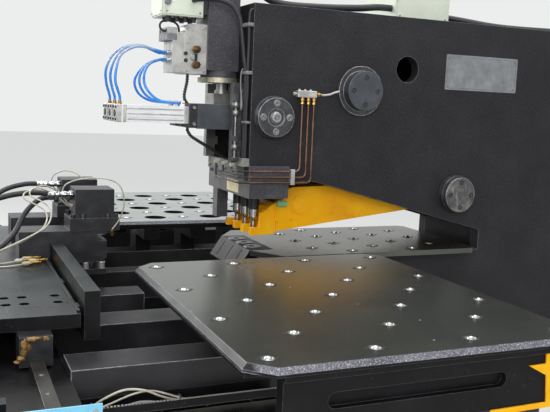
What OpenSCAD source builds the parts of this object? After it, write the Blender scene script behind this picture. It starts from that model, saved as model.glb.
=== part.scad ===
// Numerically controlled plate punching machine with three punches in line.
// A deep C frame stands on the floor. A work table slides along both of its sides,
// and a clamp carriage slides across that table and holds the sheet's edge.
// Millimetres. The origin is on the floor under the middle punch, +X runs to the
// back of the C frame, +Y away from the table that the operator stands at, +Z up.

/* [Press frame] */
// Height of the sheet tables above the floor
table_top = 850; // [800:5:950]
// Width of the C frame over its two side plates
frame_w = 552; // [500:4:640]
// Thickness of one side plate
side_t = 60; // [50:1:65]
// Distance from the punches to the front face of the upper jaw
nose_len = 98; // [90:1:110]
// Distance from the punches to the back of the throat
throat_depth = 1218; // [1190:1:1500]
// Height of the throat at its mouth, above the tables
throat_open = 335; // [320:1:360]
// Height of the throat at its back, above the tables
throat_back = 80; // [60:1:120]
// Distance from the punches to where the jaw's underside starts to slope
slope_start = 241; // [200:1:300]
// Height of the upper jaw
jaw_h = 800; // [740:2:900]
// Length of the frame behind the throat
rear_len = 832; // [600:2:1100]
// Thickness of the floor plate
floor_t = 40; // [30:1:60]
// Diameter of the round window through both side plates
window_d = 126; // [80:1:160]
// Thickness of the cross webs between the side plates
web_t = 40; // [25:1:50]

/* [Sheet tables] */
// Spacing of the transfer balls along the table
grid_x = 170; // [150:1:190]
// Spacing of the rows of transfer balls
grid_y = 200; // [180:1:210]
// Diameter of a transfer ball
ball_d = 28; // [20:1:34]
// Height that the balls stand above the tables
ball_proud = 8; // [5:0.5:10]
// Thickness of the table plates
plate_t = 24; // [18:1:30]
// Length of the two outer tables
outer_len = 1179; // [1150:1:1200]
// Width of the two outer tables
outer_w = 1384; // [1350:2:1400]
// Distance from the punches to the left edge of the outer tables
outer_left = 644; // [620:1:650]
// Distance from the centre line to the near table
near_gap = 373; // [366:1:390]
// Distance from the centre line to the far table
far_gap = 727; // [700:1:760]
// Diameter of the round windows in the far table
far_hole_d = 127; // [80:1:135]
// Corner cut of the outer tables
corner_cut = 70; // [30:1:90]
// Gap between the die table and the back of the throat
die_gap = 68; // [40:1:100]
// Width of the die table
die_w = 726; // [700:2:728]
// Thickness of the dark sub-plates under the outer tables
sub_t = 20; // [12:1:30]

/* [Punches and dies] */
// Spacing of the three punches
punch_pitch = 110; // [104:1:114]
// Diameter of a punch shank
shank_d = 50; // [40:1:56]
// Diameter of a punch tip
tip_d = 26; // [12:1:27]
// Diameter of the hole in a die
die_bore = 30; // [28:1:40]
// Outside diameter of a die
die_d = 90; // [70:1:96]
// Working stroke of the ram
stroke = 78; // [60:1:80]
// Running clearance on the radius of every sliding fit
fit = 0.05; // [0.02:0.01:0.1]
// Height of the lower face of the punch holder above the tables
holder_up = 258; // [250:1:270]

/* [Ram and selector] */
// Diameter of the ram rod
rod_d = 50; // [36:1:60]
// Width of the hydraulic cylinder block
block_w = 186; // [170:2:240]
// Height of the hydraulic cylinder block
block_h = 587; // [450:1:700]
// Height of a selector wedge
wedge_h = 84; // [82:1:90]
// Width of a selector wedge over its side ledges
wedge_w = 80; // [74:1:86]
// Width of the key under a selector wedge, which pushes the punch
key_w = 60; // [59:1:64]
// Length of a selector wedge
wedge_len = 130; // [120:1:140]
// Travel of a selector wedge
wedge_travel = 235; // [225:1:240]
// Side of the square air cylinders
air_w = 76; // [70:1:90]
// Length of the air cylinders
air_len = 326; // [320:1:400]

/* [Stripper arm] */
// Distance from the back of the throat to the arm's pivot
pivot_in = 170; // [150:1:200]
// Height of the arm's pivot above the tables
pivot_up = 271; // [260:1:290]
// Diameter of the pivot pin
pivot_d = 110; // [80:1:120]
// Overall width of the arm
arm_w = 354; // [344:2:400]
// Thickness of one arm cheek
cheek_t = 29; // [22:1:34]
// Height of the raised foot above the tables
foot_up = 67; // [62:1:80]
// Distance from the punches to the hold-down cylinder
hold_x = 222; // [210:1:260]
// Diameter of the hold-down rod
hold_d = 50; // [30:1:60]

/* [Slides] */
// Width of the guide rails
rail_w = 45; // [30:1:50]
// Height of the guide rails
rail_h = 35; // [28:1:40]
// Diameter of the ball screws
screw_d = 40; // [30:1:50]
// Distance from the centre line to each long base
base_y = 1000; // [990:2:1030]
// Top of the cross beams above the floor
beam_top = 640; // [600:2:660]
// Depth of the cross beams
beam_h = 150; // [120:1:160]
// Width of the cross bed
bed_w = 560; // [500:2:600]
// Depth of the cross bed
bed_h = 120; // [100:1:130]
// Distance from the punches to the right edge of the cross bed
bed_right = 1000; // [980:1:1010]
// Spacing of the two rails on the cross bed
bed_rail_gap = 384; // [340:2:420]

/* [Carriage and clamps] */
// Width of the carriage plate
carriage_w = 625; // [560:1:660]
// Length of the carriage plate
carriage_len = 1978; // [1800:2:2000]
// Thickness of the carriage plate
carriage_t = 50; // [36:1:60]
// Distance from the punches to the carriage plate's right edge
carriage_right = 935; // [932:1:945]
// Underside of the carriage plate above the floor
carriage_z = 724; // [715:1:740]
// Width of the locating bar
bar_w = 57; // [40:1:60]
// Height of the locating bar
bar_h = 180; // [120:1:190]
// Spacing of the two clamps
clamp_pitch = 450; // [400:1:600]
// Width of a clamp
clamp_w = 180; // [150:1:220]
// Depth of a clamp's mouth
mouth_deep = 45; // [40:1:50]
// Height of a clamp's mouth
mouth_h = 32; // [28:1:36]
// Closing travel of a clamp's jaw
jaw_travel = 17; // [8:1:18]

/* [Hidden] */
$fn = 48;

// Heights of the press
jaw_z = table_top + throat_open;
top_z = jaw_z + jaw_h;
half_w = frame_w / 2;
inner_y = half_w - side_t;
rear_x = throat_depth + rear_len;
lower_x = -20;
bed_z = table_top - plate_t;
window_x = 716;
window_z = top_z - 249;
gap = 0.3;

// Pins that show as round caps on the side plates
cap_proud = 50;
front_cap = [10, jaw_z + 297];
lever_cap = [455, jaw_z + 435];
cap_d = 195;
lever_rim = 45;
pivot_z = table_top + pivot_up;
pivot_x = throat_depth - pivot_in;

// Punch holder, punches and dies
holder_z = table_top + holder_up;
holder_top = holder_z + 149;
holder_out = half_w + 14;
shank_z = table_top + 150;
wedge_z = holder_top + 176;
ledge_t = 17;
head_top = wedge_z - ledge_t - 2;
head_h = 34;
head_d = 58;
die_top = table_top + 4;
tip_z = die_top - 10 + stroke;
die_h = 56;
holder_len = 75;
holder_half = 202;
bevel_run = 61;
bevel_drop = 90;

slug_d = 34;

// Ram
cross_z = wedge_z - ledge_t;
cross_top = cross_z + 114;
ram_front = -312;
ram_back = 90;
ram_half = 165;
channel = wedge_h + 2 * gap;
ram_top = cross_top + 170;
rod_x = -146;
coupling_top = cross_top + 50;
flange_z = jaw_z + 445;
flange_t = 23;
block_z = flange_z + flange_t + 10;
block_front = -251;
rod_in = 130;
flange_x = -157;
flange_d = 210;
box_right = -283;
wedge_x = -wedge_len / 2 - wedge_travel;
air_cap = 39;
air_z = wedge_z + wedge_h / 2;
air_x = ram_front - air_cap;

// Stripper arm
arm_half = arm_w / 2;
foot_z = table_top + foot_up;
tine_w = 34;
tine_y = punch_pitch / 2;
bridge_x = 52;
hold_boss_z = table_top + 214;
hold_boss_d = 95;
hold_z = jaw_z - 25;
hold_out_d = 120;
rod_gap = 0.4;

// Transfer balls
cup_d = ball_d + 14;
cup_deep = 20;
first_in = 75;
near_in = 86;
far_in = 147;
ball_edge = 36;
first_x = -outer_left + first_in;
first_near_y = -(near_gap + outer_w) + near_in;
first_far_y = far_gap + far_in;
cols = floor((outer_len - first_in - ball_edge) / grid_x);
near_rows = floor((outer_w - near_in - ball_edge) / grid_y);
far_rows = floor((outer_w - far_in - far_hole_d / 2 - 10) / grid_y);

// Long bases, rails and drive
base_left = -1800;
base_right = 980;
base_w = 150;
beam_z = beam_top - beam_h;
long_bear_h = 65;
long_rail_z = beam_z - long_bear_h - 10;
long_axis_z = long_rail_z + 15;
bear_len = 140;
bear_w = 110;
long_bear_x = [-1420, 330];
drive_top = long_axis_z - 70;

// Cross beams, bed and its rails
carriage_near = -828;
beam_right = 520;
beam_y = [[-1037, -862], [-538, -358], [400, 510], [925, 1075], [1600, 1710]];
stub_y = [-75, 75];
stub_right = -520;
bed_left = -bed_right - bed_w;
bed_near = -1500;
bed_far = 2200;
bed_top = beam_z + bed_h;
rail_x = [-bed_right - 96, -bed_right - 96 - bed_rail_gap];
cross_axis_x = -bed_right - 96 - bed_rail_gap / 2;
cross_axis_z = bed_top + 45;
cross_bear_y = [-905, 150, carriage_near + carriage_len - bear_len];

// Carriage and clamps
carriage_top = carriage_z + carriage_t;
bar_x = -920;
bar_top = table_top;
bar_near = -810;
clamp_y0 = 150;
clamp_ys = [clamp_y0, clamp_y0 + clamp_pitch];
clamp_nose = -655;
mouth_z = table_top + 4;
clamp_plate_z = table_top + 55;
clamp_plate_t = 59;
clamp_block_z = clamp_plate_z + clamp_plate_t;
clamp_block_h = 138;
foot_top = carriage_top - 58;
foot_t = 26;
jaw_x = clamp_nose - mouth_deep / 2;
sheet_t = 3;

// Routes of the hoses, chosen by hand
air_routes = [
    [[-429, -40, 1758], [-452, -40, 1758], [-549, -50, 1774], [-602, -62, 1762],
     [-648, -78, 1730], [-669, -95, 1680], [-677, -105, 1619], [-665, -109, 1572],
     [-657, -110, 1546], [-657, -110, 1521]],
    [[-429, 0, 1758], [-452, 0, 1758], [-537, 0, 1782], [-590, 0, 1775], [-635, 0, 1748],
     [-665, 0, 1700], [-678, 0, 1640], [-669, 0, 1585], [-657, 0, 1546], [-657, 0, 1521]],
    [[-429, 40, 1758], [-452, 40, 1758], [-525, 50, 1785], [-575, 60, 1783],
     [-620, 72, 1765], [-659, 85, 1725], [-680, 95, 1666], [-676, 103, 1609],
     [-661, 109, 1560], [-657, 110, 1543], [-657, 110, 1521]],
    [[-429, -40, 1724], [-450, -40, 1724], [-508, -52, 1702], [-538, -70, 1660],
     [-542, -88, 1608], [-519, -102, 1566], [-478, -109, 1537], [-420, -110, 1529],
     [-380, -110, 1529]],
    [[-429, 0, 1724], [-450, 0, 1724], [-503, 0, 1702], [-538, 0, 1660], [-544, 0, 1611],
     [-521, 0, 1567], [-478, 0, 1538], [-420, 0, 1529], [-380, 0, 1529]],
    [[-429, 40, 1724], [-450, 40, 1724], [-498, 52, 1702], [-536, 70, 1660],
     [-547, 88, 1614], [-525, 102, 1567], [-478, 109, 1538], [-420, 110, 1529],
     [-380, 110, 1529]]
];
clamp_routes = [
    [[-868, 200, 1075], [-905, 200, 1075], [-990, 188, 1085], [-1110, 155, 1075],
     [-1240, 105, 1035], [-1390, 55, 945], [-1480, 25, 860], [-1500, 20, 820],
     [-1500, 20, 790]],
    [[-868, 270, 1055], [-905, 270, 1055], [-965, 250, 1040], [-1030, 200, 985],
     [-1085, 120, 905], [-1170, 20, 850], [-1270, -50, 835], [-1300, -60, 822],
     [-1300, -60, 795]],
    [[-868, 650, 1075], [-905, 650, 1075], [-990, 638, 1075], [-1100, 605, 1045],
     [-1220, 550, 960], [-1320, 500, 870], [-1360, 480, 825], [-1360, 480, 790]]
];
top_routes = [
    [[735, -60, 2050], [700, -60, 2050], [620, -100, 2042], [480, -165, top_z + 35],
     [260, -190, top_z + 18], [60, -190, top_z + 18], [-35, -186, 2045], [-62, -172, 2140],
     [-75, -150, 2250], [-105, -115, 2312], [-150, -75, 2318], [-175, -50, 2290],
     [-175, -50, 2250]],
    [[1060, 60, 2050], [1095, 60, 2050], [1210, 20, 2036], [1420, -60, top_z + 23],
     [1700, -120, top_z + 18], [1800, -135, top_z + 23], [1880, -140, top_z + 43],
     [1925, -140, top_z + 43], [1944, -140, top_z + 23], [1944, -140, top_z]]
];

nose_route = [
    [-330, -110.2, 1990], [-330, -132, 1990], [-316, -150, 1992], [-270, -158, 1996],
    [-220, -158, 1996], [-165, -162, 1978], [-128, -172, 1925], [-118, -185, 1850],
    [-114, -212, 1740], [-113, -238, 1668], [-113, -239, 1500], [-113, -239, 1400],
    [-113, -239, 1325], [-113, -239, 1291.3]
];

// A box between two corners
module span(lo, hi) {
    translate(lo) cube(hi - lo);
}

// A rod along X, Y or Z
module rod_along_x(x0, x1, y, z, d) {
    translate([x0, y, z]) rotate([0, 90, 0]) cylinder(h = x1 - x0, d = d);
}
module rod_along_y(x, y0, y1, z, d) {
    translate([x, y0, z]) rotate([-90, 0, 0]) cylinder(h = y1 - y0, d = d);
}
module rod_along_z(x, y, z0, z1, d) {
    translate([x, y, z0]) cylinder(h = z1 - z0, d = d);
}

// A profile drawn in X and Z, given a thickness in Y
module across_y(y0, y1) {
    translate([0, y1, 0]) rotate([90, 0, 0]) linear_extrude(height = y1 - y0) children();
}

// A plate seen from above, given a thickness in Z
module flat(z0, z1) {
    translate([0, 0, z0]) linear_extrude(height = z1 - z0) children();
}

// A rectangle with round corners
module round_rect(lo, hi, r) {
    translate([lo[0] + r, lo[1]]) square([hi[0] - lo[0] - 2 * r, hi[1] - lo[1]]);
    translate([lo[0], lo[1] + r]) square([hi[0] - lo[0], hi[1] - lo[1] - 2 * r]);
    for (x = [lo[0] + r, hi[0] - r], y = [lo[1] + r, hi[1] - r])
        translate([x, y]) circle(r = r);
}

// A socket head screw standing on a face, pointing along +Z
module cap_screw(d, h) {
    difference() {
        cylinder(h = h, d = d);
        translate([0, 0, h * 0.5]) cylinder(h = h, d = d * 0.55, $fn = 6);
    }
}

// Unit vectors and the ring frames carried along a route
function unit(v) = v / norm(v);
function tangents(p) = [for (i = [0:len(p) - 1])
    unit(p[min(i + 1, len(p) - 1)] - p[max(i - 1, 0)])];
function carry(t, u, i = 0, out = []) = i == len(t) ? out
    : let (v = unit(u - (u * t[i]) * t[i])) carry(t, v, i + 1, concat(out, [v]));
function first_side(t) = abs(t[2]) < 0.9 ? cross(t, [0, 0, 1]) : cross(t, [0, 1, 0]);

// A round tube swept along a route as one closed mesh
module tube(p, d, n) {
    t = tangents(p);
    u = carry(t, first_side(t[0]));
    last = len(p) - 1;
    points = [for (i = [0:last], k = [0:n - 1])
        let (a = 360 * k / n, w = cross(t[i], u[i]))
        p[i] + d / 2 * (cos(a) * u[i] + sin(a) * w)];
    walls = [for (i = [0:last - 1], k = [0:n - 1], half = [0, 1])
        let (a = i * n + k, b = i * n + (k + 1) % n)
        half == 0 ? [a, b + n, b] : [a, a + n, b + n]];
    ends = [[for (k = [0:n - 1]) k], [for (k = [0:n - 1]) last * n + n - 1 - k]];
    polyhedron(points = points, faces = concat(walls, ends));
}

// Side outline of the C frame
module c_outline() {
    polygon([
        [-nose_len, top_z], [rear_x, top_z], [rear_x, floor_t], [lower_x, floor_t],
        [lower_x, bed_z], [throat_depth, bed_z], [throat_depth, table_top + throat_back],
        [slope_start, jaw_z], [-nose_len, jaw_z]
    ]);
}

// One side plate with its pin bores and round window
module side_plate(y0, y1) {
    difference() {
        across_y(y0, y1) c_outline();
        rod_along_y(window_x, y0 - 1, y1 + 1, window_z, window_d);
        rod_along_y(pivot_x, y0 - 1, y1 + 1, pivot_z, pivot_d + 2 * fit);
    }
}
module near_side_plate() {
    color("#3b3a3f") side_plate(-half_w, -inner_y);
}
module far_side_plate() {
    color("#3b3a3f") side_plate(inner_y, half_w);
}

// Floor plate with its four anchor holes
anchor_d = 28;
anchor_in = 60;
floor_lo = [-60, -420];
floor_hi = [rear_x + 50, 420];
module floor_plate() {
    color("#333237") difference() {
        span([floor_lo[0], floor_lo[1], 0], [floor_hi[0], floor_hi[1], floor_t]);
        for (x = [floor_lo[0] + anchor_in, floor_hi[0] - anchor_in])
            for (y = [floor_lo[1] + anchor_in, floor_hi[1] - anchor_in])
                rod_along_z(x, y, -1, floor_t + 1, anchor_d);
    }
}

// Cross webs that tie the side plates together
web_x = 130;
web_z = jaw_z + 215;
bolster_z = bed_z - 68;
front_web_t = 28;
module frame_webs() {
    t = web_t;
    y = inner_y;
    g = gap;
    color("#333237") {
        span([-nose_len, -y, top_z - t], [rear_x - t - g, y, top_z]);
        span([rear_x - t, -y, floor_t], [rear_x, y, top_z]);
        span([lower_x, -y, floor_t], [lower_x + t, y, bolster_z - t - g]);
        difference() {
            span([lower_x, -y, bolster_z - t], [holder_len, y, bolster_z]);
            for (i = [-1:1])
                rod_along_z(0, i * punch_pitch, bolster_z - t - 1, bolster_z + 1, slug_d);
        }
        span([-nose_len, -y, flange_z], [-nose_len + front_web_t, y, top_z - t - g]);
        span([holder_len + 15, -y, bed_z - t], [throat_depth - g, y, bed_z]);
        span([throat_depth, -y, floor_t], [throat_depth + t, y, web_z - g]);
        span([web_x + t + g, -y, web_z], [throat_depth + t, y, web_z + t]);
        span([web_x, -y, web_z], [web_x + t, y, top_z - t - g]);
    }
}

// Die table: the still plate over the lower jaw
die_corner = 50;
nose_cut = [109, 161];
function stagger(i, j) = (i + j) % 2 == 0;
die_left = -49;
die_right = throat_depth - die_gap;
function die_spots() = [for (i = [3:12], j = [0:6])
    let (x = first_x + grid_x * i, y = (j - 3) * grid_y / 2)
    if (stagger(i, j) && abs(y) < die_w / 2 - 60 && x > holder_len + 40
        && x < die_right - 60) [x, y]];
module die_table() {
    h = die_w / 2;
    x0 = die_left;
    x1 = die_right;
    color("#6f6e66") difference() {
        flat(bed_z, table_top) polygon(concat(
            [[x0, -h + nose_cut[1]], [x0 + nose_cut[0], -h]],
            [for (a = [-90:15:0]) [x1 - die_corner + die_corner * cos(a),
                -h + die_corner + die_corner * sin(a)]],
            [for (a = [0:15:90]) [x1 - die_corner + die_corner * cos(a),
                h - die_corner + die_corner * sin(a)]],
            [[x0 + nose_cut[0], h], [x0, h - nose_cut[1]]]
        ));
        span([x0 - 1, -holder_half - gap, bed_z - 1],
            [holder_len + gap, holder_half + gap, table_top + 1]);
        for (s = die_spots())
            rod_along_z(s[0], s[1], bed_z - 1, table_top + 1, cup_d);
    }
}

// One ball transfer unit: a ball that sits in a cup let into the plate
module ball_unit(x, y) {
    r = ball_d / 2;
    translate([x, y, table_top]) rotate_extrude() polygon(concat(
        [[0, -cup_deep], [cup_d / 2, -cup_deep], [cup_d / 2, 0.6], [r - 1, 0.6]],
        [for (a = [40:25:90]) [r * cos(a), ball_proud - r + r * sin(a)]]
    ));
}
module die_table_balls() {
    color("#c9ccd0") for (s = die_spots()) ball_unit(s[0], s[1]);
}

// Die holder with its bevelled front, three die seats and the slug holes
module die_holder() {
    z0 = bolster_z;
    color("#504f4e") difference() {
        across_y(-holder_half, holder_half) polygon([
            [die_left - bevel_run, table_top - bevel_drop], [die_left, table_top],
            [holder_len, table_top], [holder_len, z0], [die_left - bevel_run, z0]
        ]);
        for (i = [-1:1]) {
            rod_along_z(0, i * punch_pitch, die_top - die_h, table_top + 1, die_d + 2 * fit);
            rod_along_z(0, i * punch_pitch, z0 - 1, table_top, slug_d);
            translate([die_left - bevel_run / 2, i * 120, table_top - bevel_drop / 2])
                rotate([0, -atan2(bevel_drop, bevel_run), 0])
                span([-40, -4, -10], [40, 4, 10]);
        }
    }
}
module dies() {
    color("#b9bbbd") for (i = [-1:1]) translate([0, i * punch_pitch, die_top - die_h])
        rotate_extrude() polygon([
            [die_bore / 2 + 3, 0], [die_d / 2, 0], [die_d / 2, die_h - 6],
            [die_d / 2 - 3, die_h], [die_bore / 2, die_h], [die_bore / 2, die_h - 12],
            [die_bore / 2 + 3, die_h - 14]
        ]);
}

// Punch holder that closes the front of the upper jaw from below
leg_x = 58;
ledge_z = holder_top + 11;
module punch_holder() {
    x0 = -nose_len;
    x1 = nose_len;
    color("#45454a") difference() {
        union() {
            span([x0, -holder_out, holder_z], [x1, holder_out, jaw_z - gap]);
            span([x0, -inner_y + gap, jaw_z - gap], [x1, inner_y - gap, holder_top]);
            for (s = [-1, 1])
                span([x0, min(s * holder_out, s * (half_w + gap)), jaw_z - gap],
                    [x1, max(s * holder_out, s * (half_w + gap)), holder_top]);
            span([x0, inner_y - 66, table_top + 110], [x0 + leg_x, inner_y, holder_z]);
            span([x0 - 36, -holder_half, ledge_z - 56], [x0 + 1, holder_half, ledge_z]);
            span([x0 - 37, -half_w, ledge_z - 14], [x0 - gap, -holder_half - 5, ledge_z + 23]);
        }
        for (i = [-1:1])
            rod_along_z(0, i * punch_pitch, holder_z - 1, holder_top + 1, shank_d + 2 * fit);
    }
}

// One punch: tip, shank and the head that the ram pushes
module punch(i) {
    color("#c4c7cb") translate([0, i * punch_pitch, 0]) rotate_extrude() polygon([
        [0, tip_z], [tip_d / 2, tip_z], [tip_d / 2, shank_z - 22], [shank_d / 2 - 4, shank_z - 8],
        [shank_d / 2, shank_z], [shank_d / 2, head_top - head_h],
        [head_d / 2, head_top - head_h], [head_d / 2, head_top - 3], [head_d / 2 - 3, head_top],
        [0, head_top]
    ]);
}
module punch_1() { punch(-1); }
module punch_2() { punch(0); }
module punch_3() { punch(1); }

// Return spring under a punch head
spring_wire = 7;
spring_turns = 5;
spring_step = 18;
module punch_spring(i) {
    z0 = holder_top + spring_wire / 2 + gap;
    z1 = head_top - head_h - spring_wire / 2 - gap;
    r = shank_d / 2 + spring_wire / 2 + 1.5;
    n = spring_turns * spring_step;
    color("#8d9196") translate([0, i * punch_pitch, 0])
        tube([for (k = [0:n]) [r * cos(360 * k / spring_step), r * sin(360 * k / spring_step),
            z0 + (z1 - z0) * k / n]], spring_wire, 6);
}
module punch_spring_1() { punch_spring(-1); }
module punch_spring_2() { punch_spring(0); }
module punch_spring_3() { punch_spring(1); }

// Ram: the cross head with its three wedge channels, the guided block and two rods
module ram() {
    color("#4a4b4f") {
        difference() {
            union() {
                span([ram_front, -ram_half, cross_z], [ram_back, ram_half, cross_top]);
                span([-nose_len + 45, -ram_half, cross_top], [ram_back, ram_half, ram_top]);
            }
            for (i = [-1:1]) {
                y = i * punch_pitch;
                span([ram_front - 1, y - wedge_w / 2 - gap, wedge_z - gap],
                    [wedge_len / 2 + 2, y + wedge_w / 2 + gap, wedge_z - gap + channel]);
                span([ram_front - 1, y - key_w / 2 - gap, cross_z - 1],
                    [wedge_len / 2 + 2, y + key_w / 2 + gap, wedge_z]);
            }
        }
        span([rod_x - 55, -50, cross_top], [rod_x + 25, 50, coupling_top]);
        rod_along_z(rod_x, 0, coupling_top, coupling_top + 16, rod_d + 16);
        rod_along_z(rod_x, 0, coupling_top + 16, block_z + rod_in, rod_d);
    }
}

// Hydraulic cylinder block in front of the upper jaw
module ram_cylinder() {
    z = top_z - box_drop;
    color("#39393d") difference() {
        union() {
            span([block_front, -block_w / 2, block_z + 22],
                [-nose_len, block_w / 2, block_z + block_h]);
            difference() {
                rod_along_z(flange_x, 0, flange_z + flange_t, block_z + 23, flange_d - 24);
                span([-nose_len, -flange_d, flange_z], [flange_x + flange_d, flange_d, block_z + 24]);
            }
            span([box_right + gap, -70, z + 20], [block_front + 1, 70, z + box_h - 20]);
        }
        rod_along_z(rod_x, 0, flange_z, block_z + 60, rod_d + 2 * fit);
        rod_along_z(rod_x, 0, block_z + 59, block_z + rod_in + 20, rod_d + 20);
    }
}
module cylinder_flange() {
    color("#a9a79c") difference() {
        rod_along_z(flange_x, 0, flange_z, flange_z + flange_t, flange_d);
        span([-nose_len, -flange_d, flange_z - 1], [flange_x + flange_d, flange_d, block_z + 1]);
        rod_along_z(rod_x, 0, flange_z - 1, block_z + 1, rod_d + 4);
    }
}

// Selector wedges, each with its rod and piston
piston_d = 64;
air_rod_d = 22;
module wedge(i) {
    y = i * punch_pitch;
    color("#9aa0a6") {
        span([wedge_x, y - wedge_w / 2, wedge_z],
            [wedge_x + wedge_len, y + wedge_w / 2, wedge_z + wedge_h]);
        span([wedge_x, y - key_w / 2, cross_z], [wedge_x + wedge_len, y + key_w / 2, wedge_z]);
        rod_along_x(air_x - air_len + 40, wedge_x, y, air_z, air_rod_d);
        rod_along_x(air_x - air_len + 22, air_x - air_len + 40, y, air_z, piston_d - 2 * fit);
    }
}
module wedge_1() { wedge(-1); }
module wedge_2() { wedge(0); }
module wedge_3() { wedge(1); }

// The three square air cylinders with the plate that closes the wedge channels
module air_cylinders() {
    color("#d3d4d5") {
        difference() {
            span([air_x, -ram_half, cross_z + 3], [ram_front, ram_half, cross_top - 3]);
            for (i = [-1:1])
                rod_along_x(air_x - 1, ram_front + 1, i * punch_pitch, air_z, air_rod_d + 2 * fit);
        }
        for (i = [-1:1]) {
            y = i * punch_pitch;
            difference() {
                union() {
                    span([air_x - air_len, y - air_w / 2, air_z - air_w / 2],
                        [air_x, y + air_w / 2, air_z + air_w / 2]);
                    rod_along_z(air_x - air_len + 20, y, air_z + air_w / 2,
                        air_z + air_w / 2 + 8, 14);
                    span([air_x - 29, y - 9, air_z + air_w / 2],
                        [air_x - 11, y + 9, air_z + air_w / 2 + 26]);
                }
                rod_along_x(air_x - air_len + 18, air_x - 22, y, air_z, piston_d);
                rod_along_x(air_x - 23, air_x + 1, y, air_z, air_rod_d + 2 * fit);
                for (s = [-1, 1], t = [-1, 1])
                    span([air_x - air_len + 40, y + s * air_w / 2 - 3, air_z + t * 18 - 3],
                        [air_x - 40, y + s * air_w / 2 + 3, air_z + t * 18 + 3]);
            }
        }
    }
}

// Round caps over the pins, one set on each side plate
module cap_profile(d, proud) {
    r = d / 2;
    polygon([
        [0, 0], [r, 0], [r, proud * 0.45], [r - 4, proud * 0.6], [r - 9, proud],
        [r * 0.42, proud], [r * 0.4, proud - 5], [r * 0.26, proud - 5], [r * 0.24, proud + 2],
        [0, proud + 2]
    ]);
}
module pin_cap(spot, d, proud, rim) {
    for (s = [0, 1]) mirror([0, s, 0]) translate([spot[0], -half_w, spot[1]])
        rotate([90, 0, 0]) difference() {
            union() {
                rotate_extrude() cap_profile(d, proud);
                if (rim > 0) cylinder(h = 16, d = d + rim);
            }
            for (a = [0:90:270]) rotate([0, 0, a]) translate([d * 0.33, 0, proud - 12])
                cylinder(h = 20, d = 24);
        }
}
module pin_caps() {
    color("#47474b") {
        pin_cap(front_cap, cap_d, cap_proud - 5, 0);
        pin_cap(lever_cap, cap_d - 5, cap_proud + 10, lever_rim);
        pin_cap([pivot_x, pivot_z], cap_d, cap_proud, 0);
    }
}
module arm_pin() {
    color("#9a9da1") rod_along_y(pivot_x, -half_w, half_w, pivot_z, pivot_d);
}

// Stripper arm: two cheeks, cross tubes, and the comb that straddles the punches
module arm_outline() {
    zt = table_top;
    polygon([
        [-38, zt + 103], [-38, foot_z], [79, foot_z + 4], [88, foot_z + 18],
        [842, pivot_z - 90], [pivot_x, pivot_z - 65], [pivot_x, pivot_z + 65],
        [300, zt + 302], [170, zt + 298], [125, zt + 282], [149, zt + 266], [149, zt + 250],
        [100, zt + 228], [67, zt + 213], [12, zt + 170], [8, zt + 103]
    ]);
    translate([pivot_x, pivot_z]) circle(r = 65);
}
module tine_outline() {
    zt = table_top;
    x = bridge_x - gap;
    polygon([
        [-38, zt + 103], [-38, foot_z], [x, foot_z + 3], [x, zt + 201], [30, zt + 184],
        [30, zt + 120], [8, zt + 103]
    ]);
}
module stripper_arm() {
    h = arm_half - cheek_t - gap;
    x1 = bridge_x + 36;
    color("#e3a70b") difference() {
        union() {
            for (s = [-1, 1]) {
                across_y(min(s * arm_half, s * (arm_half - cheek_t)),
                    max(s * arm_half, s * (arm_half - cheek_t))) arm_outline();
                across_y(s * tine_y - tine_w / 2, s * tine_y + tine_w / 2) tine_outline();
                rod_along_y(hold_x, s * (arm_half + gap + 2) - 2, s * (arm_half + gap + 2) + 2,
                    hold_boss_z, hold_boss_d);
            }
            across_y(-h, h) polygon([
                [bridge_x, foot_z + 4], [x1 - 9, foot_z + 4], [x1, foot_z + 18],
                [x1, table_top + 220], [67, table_top + 211], [bridge_x, table_top + 201]
            ]);
            rod_along_y(hold_x, -h, h, hold_boss_z, hold_boss_d);
            rod_along_y(pivot_x, -h, h, pivot_z, 150);
            across_y(-h, h) polygon([
                [x1 + gap, foot_z + 19], [842, pivot_z - 89], [842, pivot_z - 65],
                [x1 + gap, foot_z + 43]
            ]);
            span([560, -h, pivot_z - 40], [600, h, pivot_z + 20]);
        }
        rod_along_y(pivot_x, -arm_half - 5, arm_half + 5, pivot_z, pivot_d + 2 * fit);
    }
}

// Hold-down cylinder that presses the arm onto the sheet
hold_rod_z = hold_boss_z + hold_boss_d / 2 + rod_gap;
module holddown_cylinder() {
    color("#2c3f43") difference() {
        union() {
            rod_along_z(hold_x, 0, hold_z, jaw_z + 215, hold_out_d);
            span([hold_x - 80, -80, jaw_z + 195], [hold_x + 80, 80, jaw_z + 215]);
        }
        rod_along_z(hold_x, 0, hold_z - 1, hold_z + 45, hold_d + 2 * fit);
        rod_along_z(hold_x, 0, hold_z + 44, jaw_z + 200, hold_out_d - 30);
    }
}
module holddown_rod() {
    top = jaw_z + 180;
    color("#b5b9bd") translate([hold_x, 0, 0]) rotate_extrude() polygon(concat(
        [for (a = [0:6:24]) [(hold_d / 2) * a / 24, hold_rod_z + 3 * pow(a / 24, 2)]],
        [[hold_d / 2, top - 30], [hold_out_d / 2 - 15 - fit, top - 30],
         [hold_out_d / 2 - 15 - fit, top], [0, top]]
    ));
}

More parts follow.
